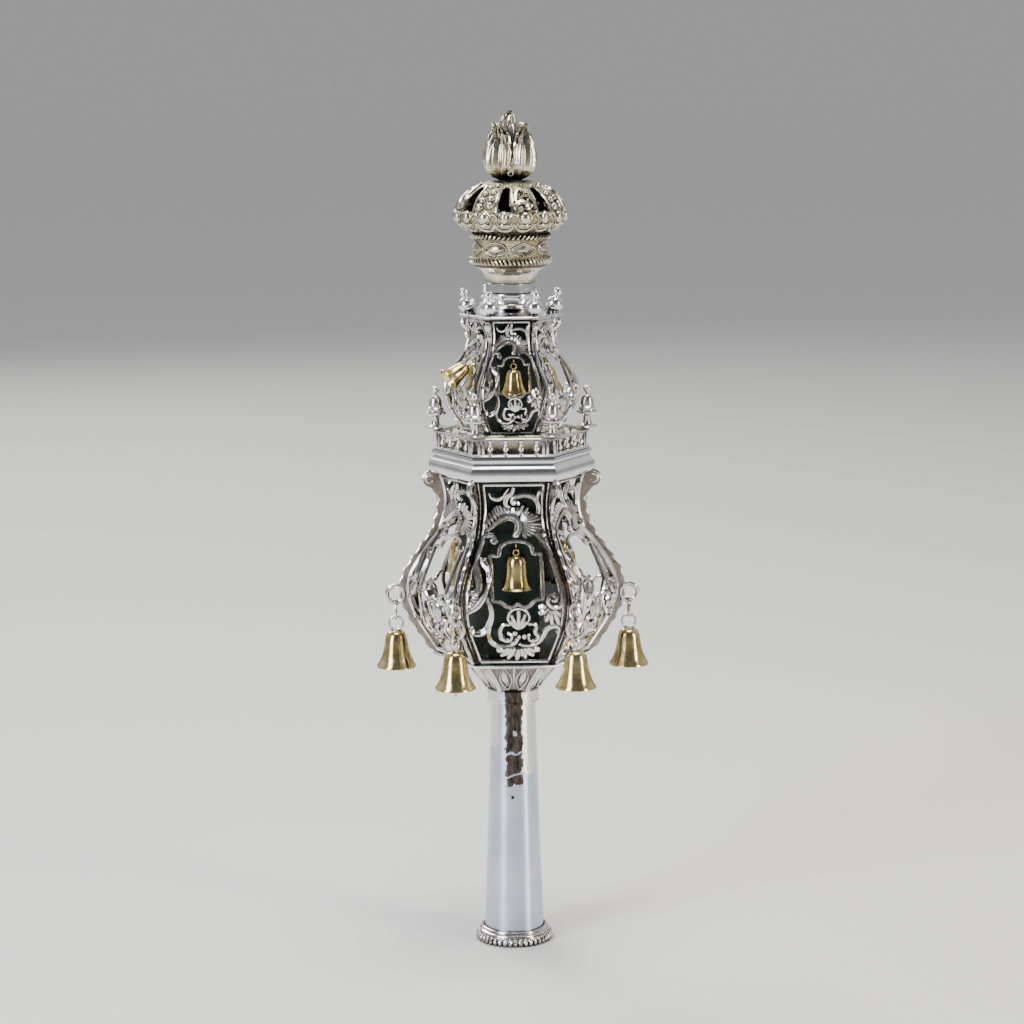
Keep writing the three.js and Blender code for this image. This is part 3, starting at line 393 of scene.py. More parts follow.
def slab(outline, handle, depth):
    """A flat plate of that outline between z = 0 and z = depth, with straight or smooth edges by its handles."""
    bpy.ops.object.select_all(action="DESELECT")
    bpy.ops.curve.primitive_bezier_curve_add()
    piece = bpy.context.object
    curve = piece.data
    curve.splines.clear()
    spline = curve.splines.new("BEZIER")
    spline.bezier_points.add(len(outline) - 1)
    spline.use_cyclic_u = True
    for knot, point in zip(spline.bezier_points, outline):
        knot.co = (point[0], point[1], 0)
        knot.handle_left_type = knot.handle_right_type = handle
    curve.dimensions = "2D"
    curve.fill_mode = "BOTH"
    curve.resolution_u = 1 if handle == "VECTOR" else 4
    curve.extrude = depth / 2
    bpy.ops.object.convert(target="MESH")
    piece = bpy.context.object
    piece.data.transform(Matrix.Translation((0, 0, depth / 2)))
    bpy.ops.object.mode_set(mode="EDIT")
    bpy.ops.mesh.select_all(action="SELECT")
    bpy.ops.mesh.remove_doubles(threshold=0.0001)
    bpy.ops.mesh.normals_make_consistent(inside=False)
    bpy.ops.object.mode_set(mode="OBJECT")
    return piece


# The pear shape of both lanterns: corner radius against height, in shares of a lantern's height
PEAR = [
    (0, 0.4), (0.09, 0.458), (0.2, 0.528), (0.33, 0.568), (0.44, 0.552),
    (0.56, 0.478), (0.68, 0.396), (0.8, 0.361), (0.9, 0.361), (1, 0.384),
]  # fmt: skip


def pear_point(t):
    """A point of the smooth curve through PEAR, with t from 0 to 1 along its points."""
    last = len(PEAR) - 1
    i = min(int(t * last), last)
    w = t * last - i
    a, b, c, d = (PEAR[min(max(i + k, 0), last)] for k in (-1, 0, 1, 2))
    found = []
    for axis in (0, 1):
        leave, arrive = (c[axis] - a[axis]) / 2, (d[axis] - b[axis]) / 2
        cubic = 2 * b[axis] - 2 * c[axis] + leave + arrive
        square = -3 * b[axis] + 3 * c[axis] - 2 * leave - arrive
        found.append(((cubic * w + square) * w + leave) * w + b[axis])
    return found


def pear(share):
    t = min(max(share, 0), 1)
    for _ in range(12):
        t = min(max(t - (pear_point(t)[0] - share), 0), 1)
    return pear_point(t)[1]


class LanternSide:
    """The face of one lantern side that looks to -Y. u and v are shares of the lantern's height."""

    def __init__(self, base, height, left_clearance, right_clearance, thickness):
        self.base, self.height, self.thickness = base, height, thickness
        self.left_clearance, self.right_clearance = left_clearance, right_clearance

    def at(self, u, v, rise=0.0):
        slope = (pear(v + 0.01) - pear(v - 0.01)) / 0.02 * FLAT
        length = math.hypot(1, slope)
        out = pear(v) * self.height * FLAT + rise / length
        return Vector((u * self.height, -out, self.base + v * self.height - rise * slope / length))

    def left(self, v):
        return -pear(v) / 2 + self.left_clearance / FLAT / self.height

    def right(self, v):
        return pear(v) / 2 - self.right_clearance / FLAT / self.height

    def inside(self, u, v, margin):
        return min(max(u, self.left(v) + margin), self.right(v) - margin)


LOWER_SIDE = LanternSide(LOWER_Z, LOWER_HEIGHT, BUTTRESS_THICKNESS / 2 + GAP, BUTTRESS_THICKNESS / 2 + GAP, PANEL_THICKNESS)
UPPER_SIDE = LanternSide(UPPER_Z, UPPER_HEIGHT, RIB_THICKNESS / 2 - 0.3, RIB_THICKNESS / 2 + GAP, UPPER_PANEL_THICKNESS)

# The openings of a pierced side, from the middle of its floor
WINDOW = [
    (-0.127, 0.594), (-0.127, 0.58), (-0.121, 0.393), (-0.12, 0.379), (-0.108, 0.376), (-0.075, 0.371), (-0.038, 0.346),
    (0.008, 0.352), (0.016, 0.36), (0.024, 0.352), (0.068, 0.346), (0.102, 0.374), (0.138, 0.383), (0.15, 0.385),
    (0.15, 0.4), (0.143, 0.588), (0.142, 0.602), (0.13, 0.603), (0.106, 0.603), (0.1, 0.61), (0.088, 0.643),
    (0.01, 0.668), (-0.068, 0.643), (-0.08, 0.606), (-0.086, 0.595), (-0.098, 0.594),
]  # fmt: skip
OPENINGS = {
    "crest": [(-0.113, 0.708), (-0.084, 0.745), (-0.028, 0.755), (-0.008, 0.73), (-0.016, 0.685), (-0.085, 0.664)],
    "left_scroll": [(-0.168, 0.62), (-0.14, 0.64), (-0.098, 0.64), (-0.1, 0.612), (-0.144, 0.61), (-0.147, 0.55), (-0.168, 0.56)],
    "right_scroll": [(0.168, 0.59), (0.214, 0.53), (0.243, 0.48), (0.238, 0.415), (0.2, 0.412), (0.17, 0.43)],
    "head_left": [(-0.152, 0.962), (-0.13, 0.969), (-0.114, 0.898), (-0.072, 0.888), (-0.112, 0.835), (-0.142, 0.83)],
    "head_right": [(-0.006, 0.967), (0.138, 0.963), (0.122, 0.934), (0.02, 0.938)],
    "head_scroll": [(0.03, 0.898), (0.08, 0.904), (0.112, 0.888), (0.114, 0.83), (0.075, 0.852)],
    "shell_left": [(-0.118, 0.35), (-0.044, 0.322), (-0.044, 0.268), (-0.1, 0.22), (-0.072, 0.155), (-0.122, 0.19), (-0.108, 0.29)],
    "shell_right": [(0.078, 0.322), (0.104, 0.345), (0.114, 0.3), (0.158, 0.252), (0.136, 0.196), (0.12, 0.25), (0.078, 0.275)],
    "left_loop": [(-0.226, 0.288), (-0.2, 0.318), (-0.158, 0.312), (-0.158, 0.268), (-0.198, 0.248)],
    "foot_left": [(-0.203, 0.172), (-0.164, 0.178), (-0.104, 0.096), (-0.07, 0.052), (-0.17, 0.048)],
    "foot_right": [(0.15, 0.158), (0.178, 0.2), (0.206, 0.2), (0.212, 0.165), (0.172, 0.046), (0.1, 0.054), (0.144, 0.102)],
}
SMALL_OPENINGS = {
    "inside_crescent": [(-0.11, 0.968), (-0.1, 0.923), (-0.062, 0.921), (-0.046, 0.964)],
    "beside_arch": [(0.1, 0.668), (0.12, 0.676), (0.142, 0.63), (0.12, 0.628)],
    "beside_head": [(0.134, 0.93), (0.15, 0.935), (0.146, 0.78), (0.136, 0.775)],
    "below_left_scroll": [(-0.224, 0.46), (-0.208, 0.51), (-0.196, 0.5), (-0.198, 0.452)],
    "below_husk": [(-0.158, 0.455), (-0.144, 0.458), (-0.139, 0.39), (-0.148, 0.395)],
}
RAIL = 0.018

# The scrolls in relief: width, number of ridges side by side, taper, and the points they pass through
SCROLLS = [
    (0.034, 2, (0.5, 1, 1.1), [(-0.15, 0.713), (-0.127, 0.736), (-0.093, 0.765), (-0.056, 0.787), (-0.026, 0.798), (0.004, 0.787), (0.02, 0.765), (0.023, 0.739), (0.014, 0.702)]),
    (0.026, 2, (0.6, 1, 0.7), [(0.0, 0.968), (-0.011, 0.932), (-0.033, 0.916), (-0.044, 0.889), (-0.041, 0.866), (-0.022, 0.851)]),
    (0.024, 2, (0.5, 1, 0.8), [(0.03, 0.87), (0.012, 0.885), (0.001, 0.874), (-0.007, 0.893), (0.008, 0.911), (0.031, 0.918), (0.061, 0.922), (0.098, 0.913), (0.121, 0.889), (0.132, 0.855), (0.129, 0.817)]),
    (0.018, 1, (0.3, 1, 0.3), [(-0.131, 0.936), (-0.12, 0.909), (-0.093, 0.897), (-0.067, 0.903), (-0.048, 0.93), (-0.026, 0.962)]),
    (0.018, 1, (0.5, 1, 0.6), [(0.129, 0.889), (0.132, 0.924), (0.147, 0.944), (0.16, 0.94), (0.158, 0.925)]),
    (0.044, 3, (0.6, 1, 0.9), [(0.12, 0.71), (0.155, 0.67), (0.185, 0.62), (0.226, 0.56), (0.25, 0.509), (0.264, 0.432), (0.262, 0.398), (0.248, 0.356)]),
    (0.024, 1, (0.8, 1, 0.8), [(0.262, 0.398), (0.248, 0.356), (0.217, 0.341), (0.186, 0.354), (0.175, 0.381), (0.19, 0.405), (0.212, 0.403), (0.219, 0.381), (0.205, 0.373)]),
    (0.04, 3, (0.7, 1, 0.7), [(-0.108, 0.699), (-0.138, 0.704), (-0.169, 0.693), (-0.193, 0.664), (-0.206, 0.629), (-0.209, 0.587), (-0.207, 0.543), (-0.198, 0.492), (-0.19, 0.45), (-0.203, 0.423), (-0.234, 0.418), (-0.25, 0.425)]),
    (0.022, 1, (0.6, 1, 0.8), [(-0.118, 0.668), (-0.104, 0.66), (-0.099, 0.674), (-0.108, 0.695), (-0.138, 0.704)]),
    (0.03, 3, (0.5, 1, 0.5), [(-0.18, 0.585), (-0.164, 0.55), (-0.14, 0.53), (-0.136, 0.492), (-0.138, 0.464)]),
    (0.026, 2, (0.5, 1, 0.7), [(-0.141, 0.458), (-0.15, 0.429), (-0.168, 0.394), (-0.199, 0.354), (-0.238, 0.328), (-0.26, 0.322)]),
    (0.028, 2, (0.7, 1, 0.8), [(-0.15, 0.394), (-0.132, 0.35), (-0.126, 0.304), (-0.137, 0.263), (-0.159, 0.223), (-0.195, 0.205), (-0.226, 0.214), (-0.235, 0.238)]),
    (0.022, 1, (0.6, 1, 0.5), [(-0.026, 0.253), (-0.057, 0.253), (-0.076, 0.228), (-0.078, 0.193), (-0.058, 0.165), (-0.028, 0.162), (-0.016, 0.185), (-0.034, 0.203)]),
    (0.022, 1, (0.6, 1, 0.5), [(0.072, 0.253), (0.1, 0.256), (0.116, 0.233), (0.107, 0.213), (0.126, 0.183), (0.108, 0.16), (0.08, 0.162), (0.07, 0.185)]),
    (0.026, 2, (0.6, 1, 0.8), [(-0.135, 0.235), (-0.142, 0.213), (-0.14, 0.183), (-0.12, 0.147), (-0.089, 0.13), (-0.04, 0.128), (0.0, 0.147), (0.014, 0.175)]),
    (0.026, 2, (0.6, 1, 0.8), [(0.02, 0.14), (0.05, 0.131), (0.089, 0.131), (0.125, 0.147), (0.151, 0.185), (0.168, 0.22), (0.191, 0.236), (0.222, 0.238), (0.236, 0.218), (0.222, 0.208)]),
    (0.014, 1, (0.8, 1, 0.8), [(-0.024, 0.253), (-0.037, 0.286), (-0.022, 0.325), (0.018, 0.339), (0.058, 0.325), (0.076, 0.291), (0.062, 0.253)]),
]  # fmt: skip

# Fans of petals in relief: petal width, how many, the line that they grow from and the line that their tips reach
FANS = [
    (0.021, 12, [(-0.14, 0.735), (-0.08, 0.787), (-0.02, 0.812), (0.02, 0.8)], [(-0.163, 0.79), (-0.135, 0.82), (-0.105, 0.85), (-0.085, 0.868), (-0.044, 0.852), (0.0, 0.85), (0.05, 0.862)]),
    (0.022, 11, [(0.035, 0.785), (0.045, 0.765), (0.035, 0.735)], [(0.075, 0.85), (0.083, 0.821), (0.117, 0.812), (0.15, 0.8), (0.156, 0.758), (0.15, 0.73), (0.13, 0.71), (0.1, 0.697), (0.07, 0.68)]),
    (0.03, 6, [(0.17, 0.345), (0.19, 0.325), (0.215, 0.33)], [(0.126, 0.345), (0.128, 0.31), (0.164, 0.268), (0.199, 0.249), (0.24, 0.25), (0.255, 0.295)]),
    (0.026, 5, [(0.01, 0.23), (0.02, 0.225), (0.032, 0.23)], [(-0.022, 0.27), (-0.022, 0.305), (0.018, 0.328), (0.056, 0.308), (0.06, 0.27)]),
    (0.034, 7, [(-0.03, 0.115), (0.018, 0.108), (0.066, 0.115)], [(-0.096, 0.1), (-0.074, 0.068), (-0.034, 0.05), (0.012, 0.044), (0.056, 0.052), (0.1, 0.068), (0.132, 0.1)]),
    (0.018, 5, [(-0.19, 0.41), (-0.2, 0.38), (-0.22, 0.35)], [(-0.215, 0.405), (-0.232, 0.392), (-0.244, 0.372), (-0.25, 0.35)]),
    (0.02, 4, [(-0.165, 0.57), (-0.155, 0.555), (-0.15, 0.53)], [(-0.152, 0.585), (-0.14, 0.56), (-0.132, 0.54), (-0.132, 0.515)]),
    (0.018, 5, [(0.145, 0.69), (0.165, 0.66), (0.18, 0.64)], [(0.168, 0.74), (0.182, 0.72), (0.19, 0.69), (0.2, 0.665)]),
]  # fmt: skip
# How each parallel ridge of a scroll swells over its share of the width, and how far it rises in mm
RIDGE_SWELLS = {1: [(1.25, 0.25)], 2: [(1.15, 0.1), (1.75, 0.45)], 3: [(1.2, 0.1), (1.9, 0.6), (1.35, 0.2)]}
PEARLS = [(0.0, 0.2, 0.014), (0.05, 0.18, 0.014), (0.022, 0.178, 0.011), (0.012, 0.7, 0.02), (-0.034, 0.2, 0.01), (0.075, 0.19, 0.01), (0.203, 0.375, 0.011), (-0.118, 0.67, 0.011)]


def along(line, share):
    """A point at that share of a line through (u, v) points."""
    place = share * (len(line) - 1)
    i = min(int(place), len(line) - 2)
    (a, b), (c, d) = line[i], line[i + 1]
    return a + (c - a) * (place - i), b + (d - b) * (place - i)


def side_relief(side, openings):
    """The plate of a pierced side and its scrolls, petals, pearls and mouldings."""
    plate = pierced_plate(side, openings)
    size = side.height
    paths = []

    def rod(points, width, taper, rise=0.0, closed=False):
        radii = [width / 2 * size * t for t in taper]
        margin = width / 2 + 0.002
        spots = [side.at(side.inside(u, v, margin), v, side.thickness + rise) for u, v in points]
        paths.append((spots, radii, closed))

    for width, ridges, taper, points in SCROLLS:
        for ridge in range(ridges):
            shift = (ridge - (ridges - 1) / 2) / ridges * width
            moved = []
            for i, (u, v) in enumerate(points):
                a, b = points[max(i - 1, 0)], points[min(i + 1, len(points) - 1)]
                run = math.hypot(b[0] - a[0], b[1] - a[1])
                share = taper[min(int(i / len(points) * len(taper)), len(taper) - 1)]
                moved.append((u - (b[1] - a[1]) / run * shift * share, v + (b[0] - a[0]) / run * shift * share))
            swell, rise = RIDGE_SWELLS[ridges][ridge]
            rod(moved, width / ridges * swell, taper, rise)
    for width, count, roots, tips in FANS:
        for i in range(count):
            share = i / (count - 1)
            (a, b), (c, d) = along(roots, share), along(tips, share)
            rod([(a, b), ((a + c) / 2, (b + d) / 2), (c, d)], width * 1.3, (0.5, 1, 0.55), -0.05)
    rod(WINDOW, 0.021, (1, 1), 0.3, True)
    levels = [0.02 + i * 0.96 / 10 for i in range(11)]
    for edge in (side.left, side.right):
        rod([(edge(v), v) for v in levels], 0.013, (1, 1))
    rod([(side.left(0.03), 0.03), (0, 0.03), (side.right(0.03), 0.03)], 0.02, (1, 1))
    rod([(side.left(0.98), 0.98), (0, 0.98), (side.right(0.98), 0.98)], 0.014, (1, 1))
    relief = strands(paths, 4)
    pieces = [finished(plate, GROUND_SILVER), finished(relief, SILVER)]
    for u, v, radius in PEARLS:
        pearl = finished(ball(radius * size, (1, 0.8, 1)), SILVER)
        pearl.data.transform(Matrix.Translation(side.at(u, v, side.thickness)))
        pieces.append(pearl)
    return join(pieces)


def pierced_plate(side, openings):
    """A plate in shares of the height, cut with smooth openings and then bent to the lantern."""
    bpy.ops.object.select_all(action="DESELECT")
    bpy.ops.mesh.primitive_cube_add(size=1, location=(0, 0.5, 0.5))
    plate = bpy.context.object
    bpy.ops.object.transform_apply(location=True, rotation=True, scale=True)
    bpy.ops.object.mode_set(mode="EDIT")
    bpy.ops.mesh.select_all(action="SELECT")
    for i in range(1, 40):
        bpy.ops.mesh.select_all(action="SELECT")
        bpy.ops.mesh.bisect(plane_co=(0, i / 40, 0), plane_no=(0, 1, 0))
    bpy.ops.object.mode_set(mode="OBJECT")
    for vertex in plate.data.vertices:
        v = 0.016 + vertex.co.y * 0.976
        u = side.left(v) if vertex.co.x < 0 else side.right(v)
        vertex.co = (u, v, vertex.co.z)
    cutters = [slab(WINDOW, "VECTOR", 3)]
    for points in openings.values():
        cutters.append(slab([(side.inside(u, v, RAIL), v) for u, v in points], "AUTO", 3))
    cutter = join(cutters)
    cutter.data.transform(Matrix.Translation((0, 0, -1)))
    choose(plate)
    cut = plate.modifiers.new("openings", "BOOLEAN")
    cut.operation, cut.solver, cut.object = "DIFFERENCE", "EXACT", cutter
    bpy.ops.object.modifier_apply(modifier=cut.name)
    bpy.data.objects.remove(cutter)
    for vertex in plate.data.vertices:
        u, v, depth = vertex.co
        vertex.co = side.at(u, v, depth * side.thickness)
    return plate


# Foot, stem, collar, calyx and floor
def foot():
    bore = STEM_FOOT_RADIUS + GAP
    profile = [
        (bore, 0), (17, 0), (17.2, 3.4), (16.9, 4.1), (17.1, 4.5), (16.8, 5.0), (16.2, 5.2), (15.8, 5.5),
        (15.7, 5.9), (15.95, 6.2), (15.8, 6.6), (15.3, 6.9), (bore, 6.9), (bore, 0),
    ]  # fmt: skip
    ring = turned(profile, 96)
    bead = ball(1.15, (1, 1, 1.9), 10, 8)
    bead.data.transform(Matrix.Translation((17.45, 0, 2.12)) @ Matrix.Rotation(math.radians(-22), 4, "Y"))
    beads = repeat(bead, [turn_about_z(math.tau * i / 44) for i in range(44)])
    settle(join([ring, beads]), "beaded_foot", SILVER, nodes=["foot_ring"])


def stem():
    low, high = STEM_FOOT_RADIUS, STEM_TOP_RADIUS
    profile = [(low, 0.2), (high, STEM_LENGTH), (high - STEM_WALL, STEM_LENGTH), (low - STEM_WALL, 0.2), (low, 0.2)]
    settle(turned(profile, 96), "drawn_stem", STEM_SILVER, ["stem"])


def collar():
    bore = STEM_TOP_RADIUS + 0.5
    profile = [
        (bore, 0), (12.1, 0), (12.4, 0.25), (12.5, 0.6), (12.3, 1.0), (12.1, 1.15), (12.15, 5.2), (12.4, 5.4),
        (12.5, 5.8), (12.3, 6.25), (12.0, 6.4), (bore, 6.4), (bore, 0),
    ]  # fmt: skip
    # The collar takes the stem's finish, so its front carries the same painted dark reflection.
    settle(turned(raised(profile, COLLAR_Z), 96), "plain_collar", STEM_SILVER, nodes=["stem_collar"])


def calyx():
    eaves = CALYX_HEIGHT - 1.6

    def radius(share):
        return CALYX_FOOT_RADIUS + (CALYX_TOP_RADIUS - CALYX_FOOT_RADIUS) * share**1.22

    def at(across, share, rise=0.0):
        return Vector((across * radius(share) / 2, -(radius(share) * FLAT + rise), CALYX_Z + eaves * share))

    shares = [i / 6 for i in range(7)]
    outer = [(radius(s), eaves * s) for s in shares]
    rim = [(25.0, CALYX_HEIGHT - 0.5), (24.7, CALYX_HEIGHT), (23.8, CALYX_HEIGHT), (23.8, eaves)]
    inner = [(radius(s) - 1.2, eaves * s) for s in reversed(shares[:-1])]
    cup = hexagonal(raised(outer + rim + inner + outer[:1], CALYX_Z))
    paths = []
    for side in (-1, 1):
        spine = [(0.42, 0.05), (0.42, 0.25), (0.43, 0.5), (0.43, 0.75), (0.43, 0.95)]
        paths.append(([at(side * u, v, -1.35) for u, v in spine], [0.5, 1.6, 2.15, 1.8, 0.5], False))
        paths.append(([at(side * u, v, 0.62) for u, v in spine[1:]], [0.2, 0.32, 0.2], False))
        for leaf_edge in ([(0.4, 0.03), (0.74, 0.5), (0.46, 0.96)], [(0.4, 0.03), (0.12, 0.5), (0.4, 0.96)]):
            paths.append(([at(side * u, v, 0.12) for u, v in leaf_edge], [0.3, 0.42, 0.3], False))
    paths.append(([at(0, v, 0.05) for v in (0.3, 0.6, 0.97)], [0.2, 0.5, 0.8], False))
    leaves = strands(paths, 5, 2)
    strap = strands([([(radius(s) + 0.1, 0, CALYX_Z + eaves * s) for s in shares], [1.1, 1.2], False)], 2, 2)
    ring = repeat(join([leaves, strap]), [turn_about_z(k * SIXTH) for k in range(SIDES)])
    whole = join([finished(cup, GROUND_SILVER), finished(ring, SILVER)])
    settle(whole, "leafed_calyx", None, nodes=["leaf_calyx"])


def lantern_floor():
    profile = [
        (0, 0), (37.0, 0), (38.1, 0.2), (38.3, 0.7), (38.3, 1.2), (37.9, 1.7), (37.5, 1.8), (0, 1.8),
    ]  # fmt: skip
    plate = hexagonal(raised(profile, FLOOR_Z))
    bead = ball(0.5, (1, 1, 1.2), 6, 4)
    places = []
    for k in range(SIDES):
        for i in range(31):
            across = (i - 15) * 1.24
            places.append(turn_about_z(k * SIXTH) @ Matrix.Translation((across, -38.0 * FLAT, FLOOR_Z + 0.85)))
    settle(join([plate, repeat(bead, places)]), "beaded_floor", PLAIN_SILVER, nodes=["lower_floor"])


# Corners of the lower lantern
def buttress():
    lobes, steps = 12, 6
    low, high = GAP / LOWER_HEIGHT, 0.845
    edge = []
    for i in range(lobes * steps + 1):
        share = low + (high - low) * i / (lobes * steps)
        bulge = 1.75 * abs(math.sin(math.pi * i / steps)) ** 0.75 - 0.85
        edge.append((pear(share) * LOWER_HEIGHT + 3.6 + bulge, LOWER_Z + share * LOWER_HEIGHT))
    top = CORNICE_Z - GAP
    reach = pear(0.95) * LOWER_HEIGHT + 6.4

    def curl(degrees, radius):
        return reach + radius * math.cos(math.radians(degrees)), top - 3.5 + radius * math.sin(math.radians(degrees))

    roll = [curl(a, 3.5) for a in range(-75, 91, 15)]
    back = [(pear(s) * LOWER_HEIGHT - 2, LOWER_Z + s * LOWER_HEIGHT) for s in (low + (1 - 2 * low) * i / 16 for i in range(17))]
    notch = (roll[0][0] - 1.4, roll[0][1] - 0.6)
    upright = Matrix.Translation((0, 0.75, 0)) @ Matrix.Rotation(math.radians(90), 4, "X")
    plate = slab(edge + [notch] + roll + back[::-1], "VECTOR", 1.5)
    plate.data.transform(upright)
    for finish in (SILVER, DULL_SILVER):
        plate.data.materials.append(finish)
    for face in plate.data.polygons:
        face.material_index = int(abs(face.normal.y) > 0.7)
    spiral = [curl(100 - 36 * i, 2.7 - 0.23 * i) for i in range(10)]
    lift = lambda points: [Vector((r, 0, z)) for r, z in points]  # noqa: E731
    rail = [(pear(s) * LOWER_HEIGHT + 0.5, LOWER_Z + s * LOWER_HEIGHT) for s in (i / 12 for i in range(13))]
    rail[0], rail[-1] = (rail[0][0], rail[0][1] + 1.2), (rail[-1][0], rail[-1][1] - 1.2)
    head = [(r, z) for r, z in [edge[-14], edge[-8], notch] + roll[2:]]
    rims = strands(
        [
            (lift(edge[1:-1:2]), [0.7, 0.7], False),
            (lift([edge[-1], notch]), [0.6, 0.6], False),
            (lift(head), [0.5, 0.9, 1.1], False),
            (lift(spiral), [1.15, 0.9, 0.7], False),
            (lift(rail), [1.0, 1.1], False),
        ],
        3,
        2,
    )
    eye = wire_ring(EYE_RADIUS, EYE_WIRE, (EYE_REACH, 0, EYE_Z))
    settle_round(join([plate, finished(rims, SILVER), finished(eye, SILVER)]), "lower_buttress", None)


# Bells: outlines from the crown to the lip, in shares of the lip's radius and the height
BELL = [
    (0.12, 0), (0.3, -0.015), (0.43, -0.06), (0.52, -0.14), (0.575, -0.26), (0.615, -0.4), (0.66, -0.54),
    (0.73, -0.68), (0.81, -0.79), (0.9, -0.88), (0.97, -0.94), (1.0, -0.97), (1.0, -1.0),
]  # fmt: skip
SLIM_BELL = [
    (0.2, 0), (0.44, -0.02), (0.57, -0.08), (0.64, -0.18), (0.67, -0.32), (0.685, -0.5), (0.71, -0.66),
    (0.77, -0.8), (0.86, -0.91), (0.95, -0.965), (1.0, -0.98), (1.0, -1.0),
]  # fmt: skip


def bell(shares, radius, height, wall):
    outer = scaled(shares, radius, height)
    inner = [(r - wall, z + (0 if z < -height * 0.9 else -wall * 0.3)) for r, z in reversed(outer[2:-2])]
    return turned([(0, 0)] + outer + [(radius - wall * 0.8, -height)] + inner + [(0, outer[2][1] - wall)], 48)


def corner_bells():
    crown_z = LOOP_Z - LOOP_RADIUS
    link = wire_ring(LINK_RADIUS, LINK_WIRE, (EYE_REACH, 0, LINK_Z), across=True)
    loop = wire_ring(LOOP_RADIUS, LOOP_WIRE, (EYE_REACH, 0, LOOP_Z))
    cup = finished(bell(BELL, 9.5, 17.8, 0.7), GILT)
    staple = ball(1.3, (1, 1, 0.7), 16, 8)
    cup = join([cup, staple])
    cup.data.transform(Matrix.Translation((EYE_REACH, 0, crown_z)))
    whole = join([cup, finished(link, SILVER), finished(loop, SILVER)])
    for k in range(SIDES):
        twin = copy_of(whole, Matrix.Identity(4))
        drop = {3: 2.2, 4: 4.6}.get(k)
        if drop is not None:
            end = crown_z - 17.8 - drop
            wire = strands([([(EYE_REACH, 0, crown_z - 1), (EYE_REACH + 0.3, 0.2, crown_z - 9), (EYE_REACH, 0, end + 1)], [0.35, 0.35], False)], 4)
            knob = ball(0.95, (1, 1, 1.1), 12, 8)
            knob.data.transform(Matrix.Translation((EYE_REACH, 0, end + 1)))
            twin = join([twin, wire, knob])
        twin.data.transform(turn_about_z(k * SIXTH))
        settle(twin, f"corner_bell_dressed_{k + 1}", None, [f"corner_bell_{k + 1}"])
    bpy.data.objects.remove(whole)


def window_bells(side, family, shares, radius, height, behind, odd_ones):
    crown_z = -2 * 1.3 - 0.4
    cup = bell(shares, radius, height, 0.6)
    cup.data.transform(Matrix.Translation((0, 0, crown_z)))
    loop = wire_ring(1.3, 0.4, (0, 0, crown_z / 2 - 0.2))
    staple = ball(0.9, (1, 1, 0.7), 12, 8)
    staple.data.transform(Matrix.Translation((0, 0, crown_z)))
    whole = join([cup, loop, staple])
    hook = side.at(0.012, 0.625)
    for k in range(SIDES):
        back, out, left = odd_ones.get(k, (behind, 0, 0))
        lean = Matrix.Rotation(math.radians(-out), 4, "X") @ Matrix.Rotation(math.radians(left), 4, "Y")
        spot = turn_about_z(k * SIXTH) @ Matrix.Translation(hook + Vector((0, back, 0))) @ lean
        twin = copy_of(whole, spot)
        wire = strands([([side.at(0.012, 0.655, 0.2) + Vector((0, min(back, 2.0) * 0.5, 0)), hook + Vector((0, back * 0.7, 1.0)), hook + Vector((0, back, 0.15))], [0.32, 0.28], False)], 4)
        wire.data.transform(turn_about_z(k * SIXTH))
        settle(join([twin, wire]), f"{family}_dressed_{k + 1}", GILT, [f"{family}_{k + 1}"])
    bpy.data.objects.remove(whole)


# Cornice, gallery and its finials
def cornice():
    bulge = 2.2
    torus = []
    for degrees in range(-60, 61, 10):
        angle = math.radians(degrees)
        torus.append((CORNICE_RADIUS - bulge + bulge * math.cos(angle), 3.1 * (1 + math.sin(angle) / math.sin(SIXTH))))
    profile = (
        [(0, 9.3), (35.4, 9.3), (35.4, 7.5), (36.9, 4.9), (36.9, 1.6), (3, 1.6), (3, 0)]
        + torus
        + [(38.2, 6.5), (37.9, 6.7), (37.4, 7.4), (37.1, 8.3), (37.2, 8.7), (37.9, 9.0), (38.1, 9.6), (37.9, 10.5), (37.7, 10.9), (0, 10.9)]
    )
    settle(hexagonal(raised(profile, CORNICE_Z)), "moulded_cornice", PLAIN_SILVER, nodes=["cornice"])


def block(size, location):
    bpy.ops.object.select_all(action="DESELECT")
    bpy.ops.mesh.primitive_cube_add(size=1, location=location)
    piece = bpy.context.object
    piece.scale = size
    bpy.ops.object.transform_apply(location=True, rotation=True, scale=True)
    bevel = piece.modifiers.new("edges", "BEVEL")
    bevel.width, bevel.segments = 0.18, 2
    bpy.ops.object.modifier_apply(modifier=bevel.name)
    return piece


def gallery():
    low = [(34.9, 0), (37.1, 0), (37.1, 0.5), (36.8, 0.8), (36.9, 1.3), (34.9, 1.3), (34.9, 0)]
    high = [(34.9, 7.5), (36.7, 7.5), (36.7, 7.8), (37.1, 8.1), (37.1, 8.6), (36.9, 8.8), (34.9, 8.8), (34.9, 7.5)]
    pieces = [hexagonal(raised(low, GALLERY_Z)), hexagonal(raised(high, GALLERY_Z))]
    vase = [
        (0, 1.0), (1.25, 1.0), (1.25, 1.8), (0.65, 2.1), (0.8, 2.4), (1.5, 3.2), (1.6, 3.8), (1.2, 4.6),
        (0.65, 5.6), (0.6, 6.2), (1.0, 6.5), (1.2, 6.9), (1.2, 7.7), (0, 7.7),
    ]  # fmt: skip
    baluster = turned(raised(vase, GALLERY_Z), 12)
    middle = (GALLERY_RADIUS - 1) * FLAT
    pitch = (GALLERY_RADIUS - 1) / 5
    row = [repeat(baluster, [Matrix.Translation(((i - 1.5) * pitch, -middle, 0)) for i in range(4)])]
    for across in (-15.9, -14.0, 14.0, 15.9):
        row.append(block((1.25, 1.4, 6.6), (across, -middle, GALLERY_Z + 4.4)))
    ring = repeat(join(row), [turn_about_z(k * SIXTH) for k in range(SIDES)])
    settle(join(pieces + [ring]), "balustrade", SILVER, nodes=["gallery"])


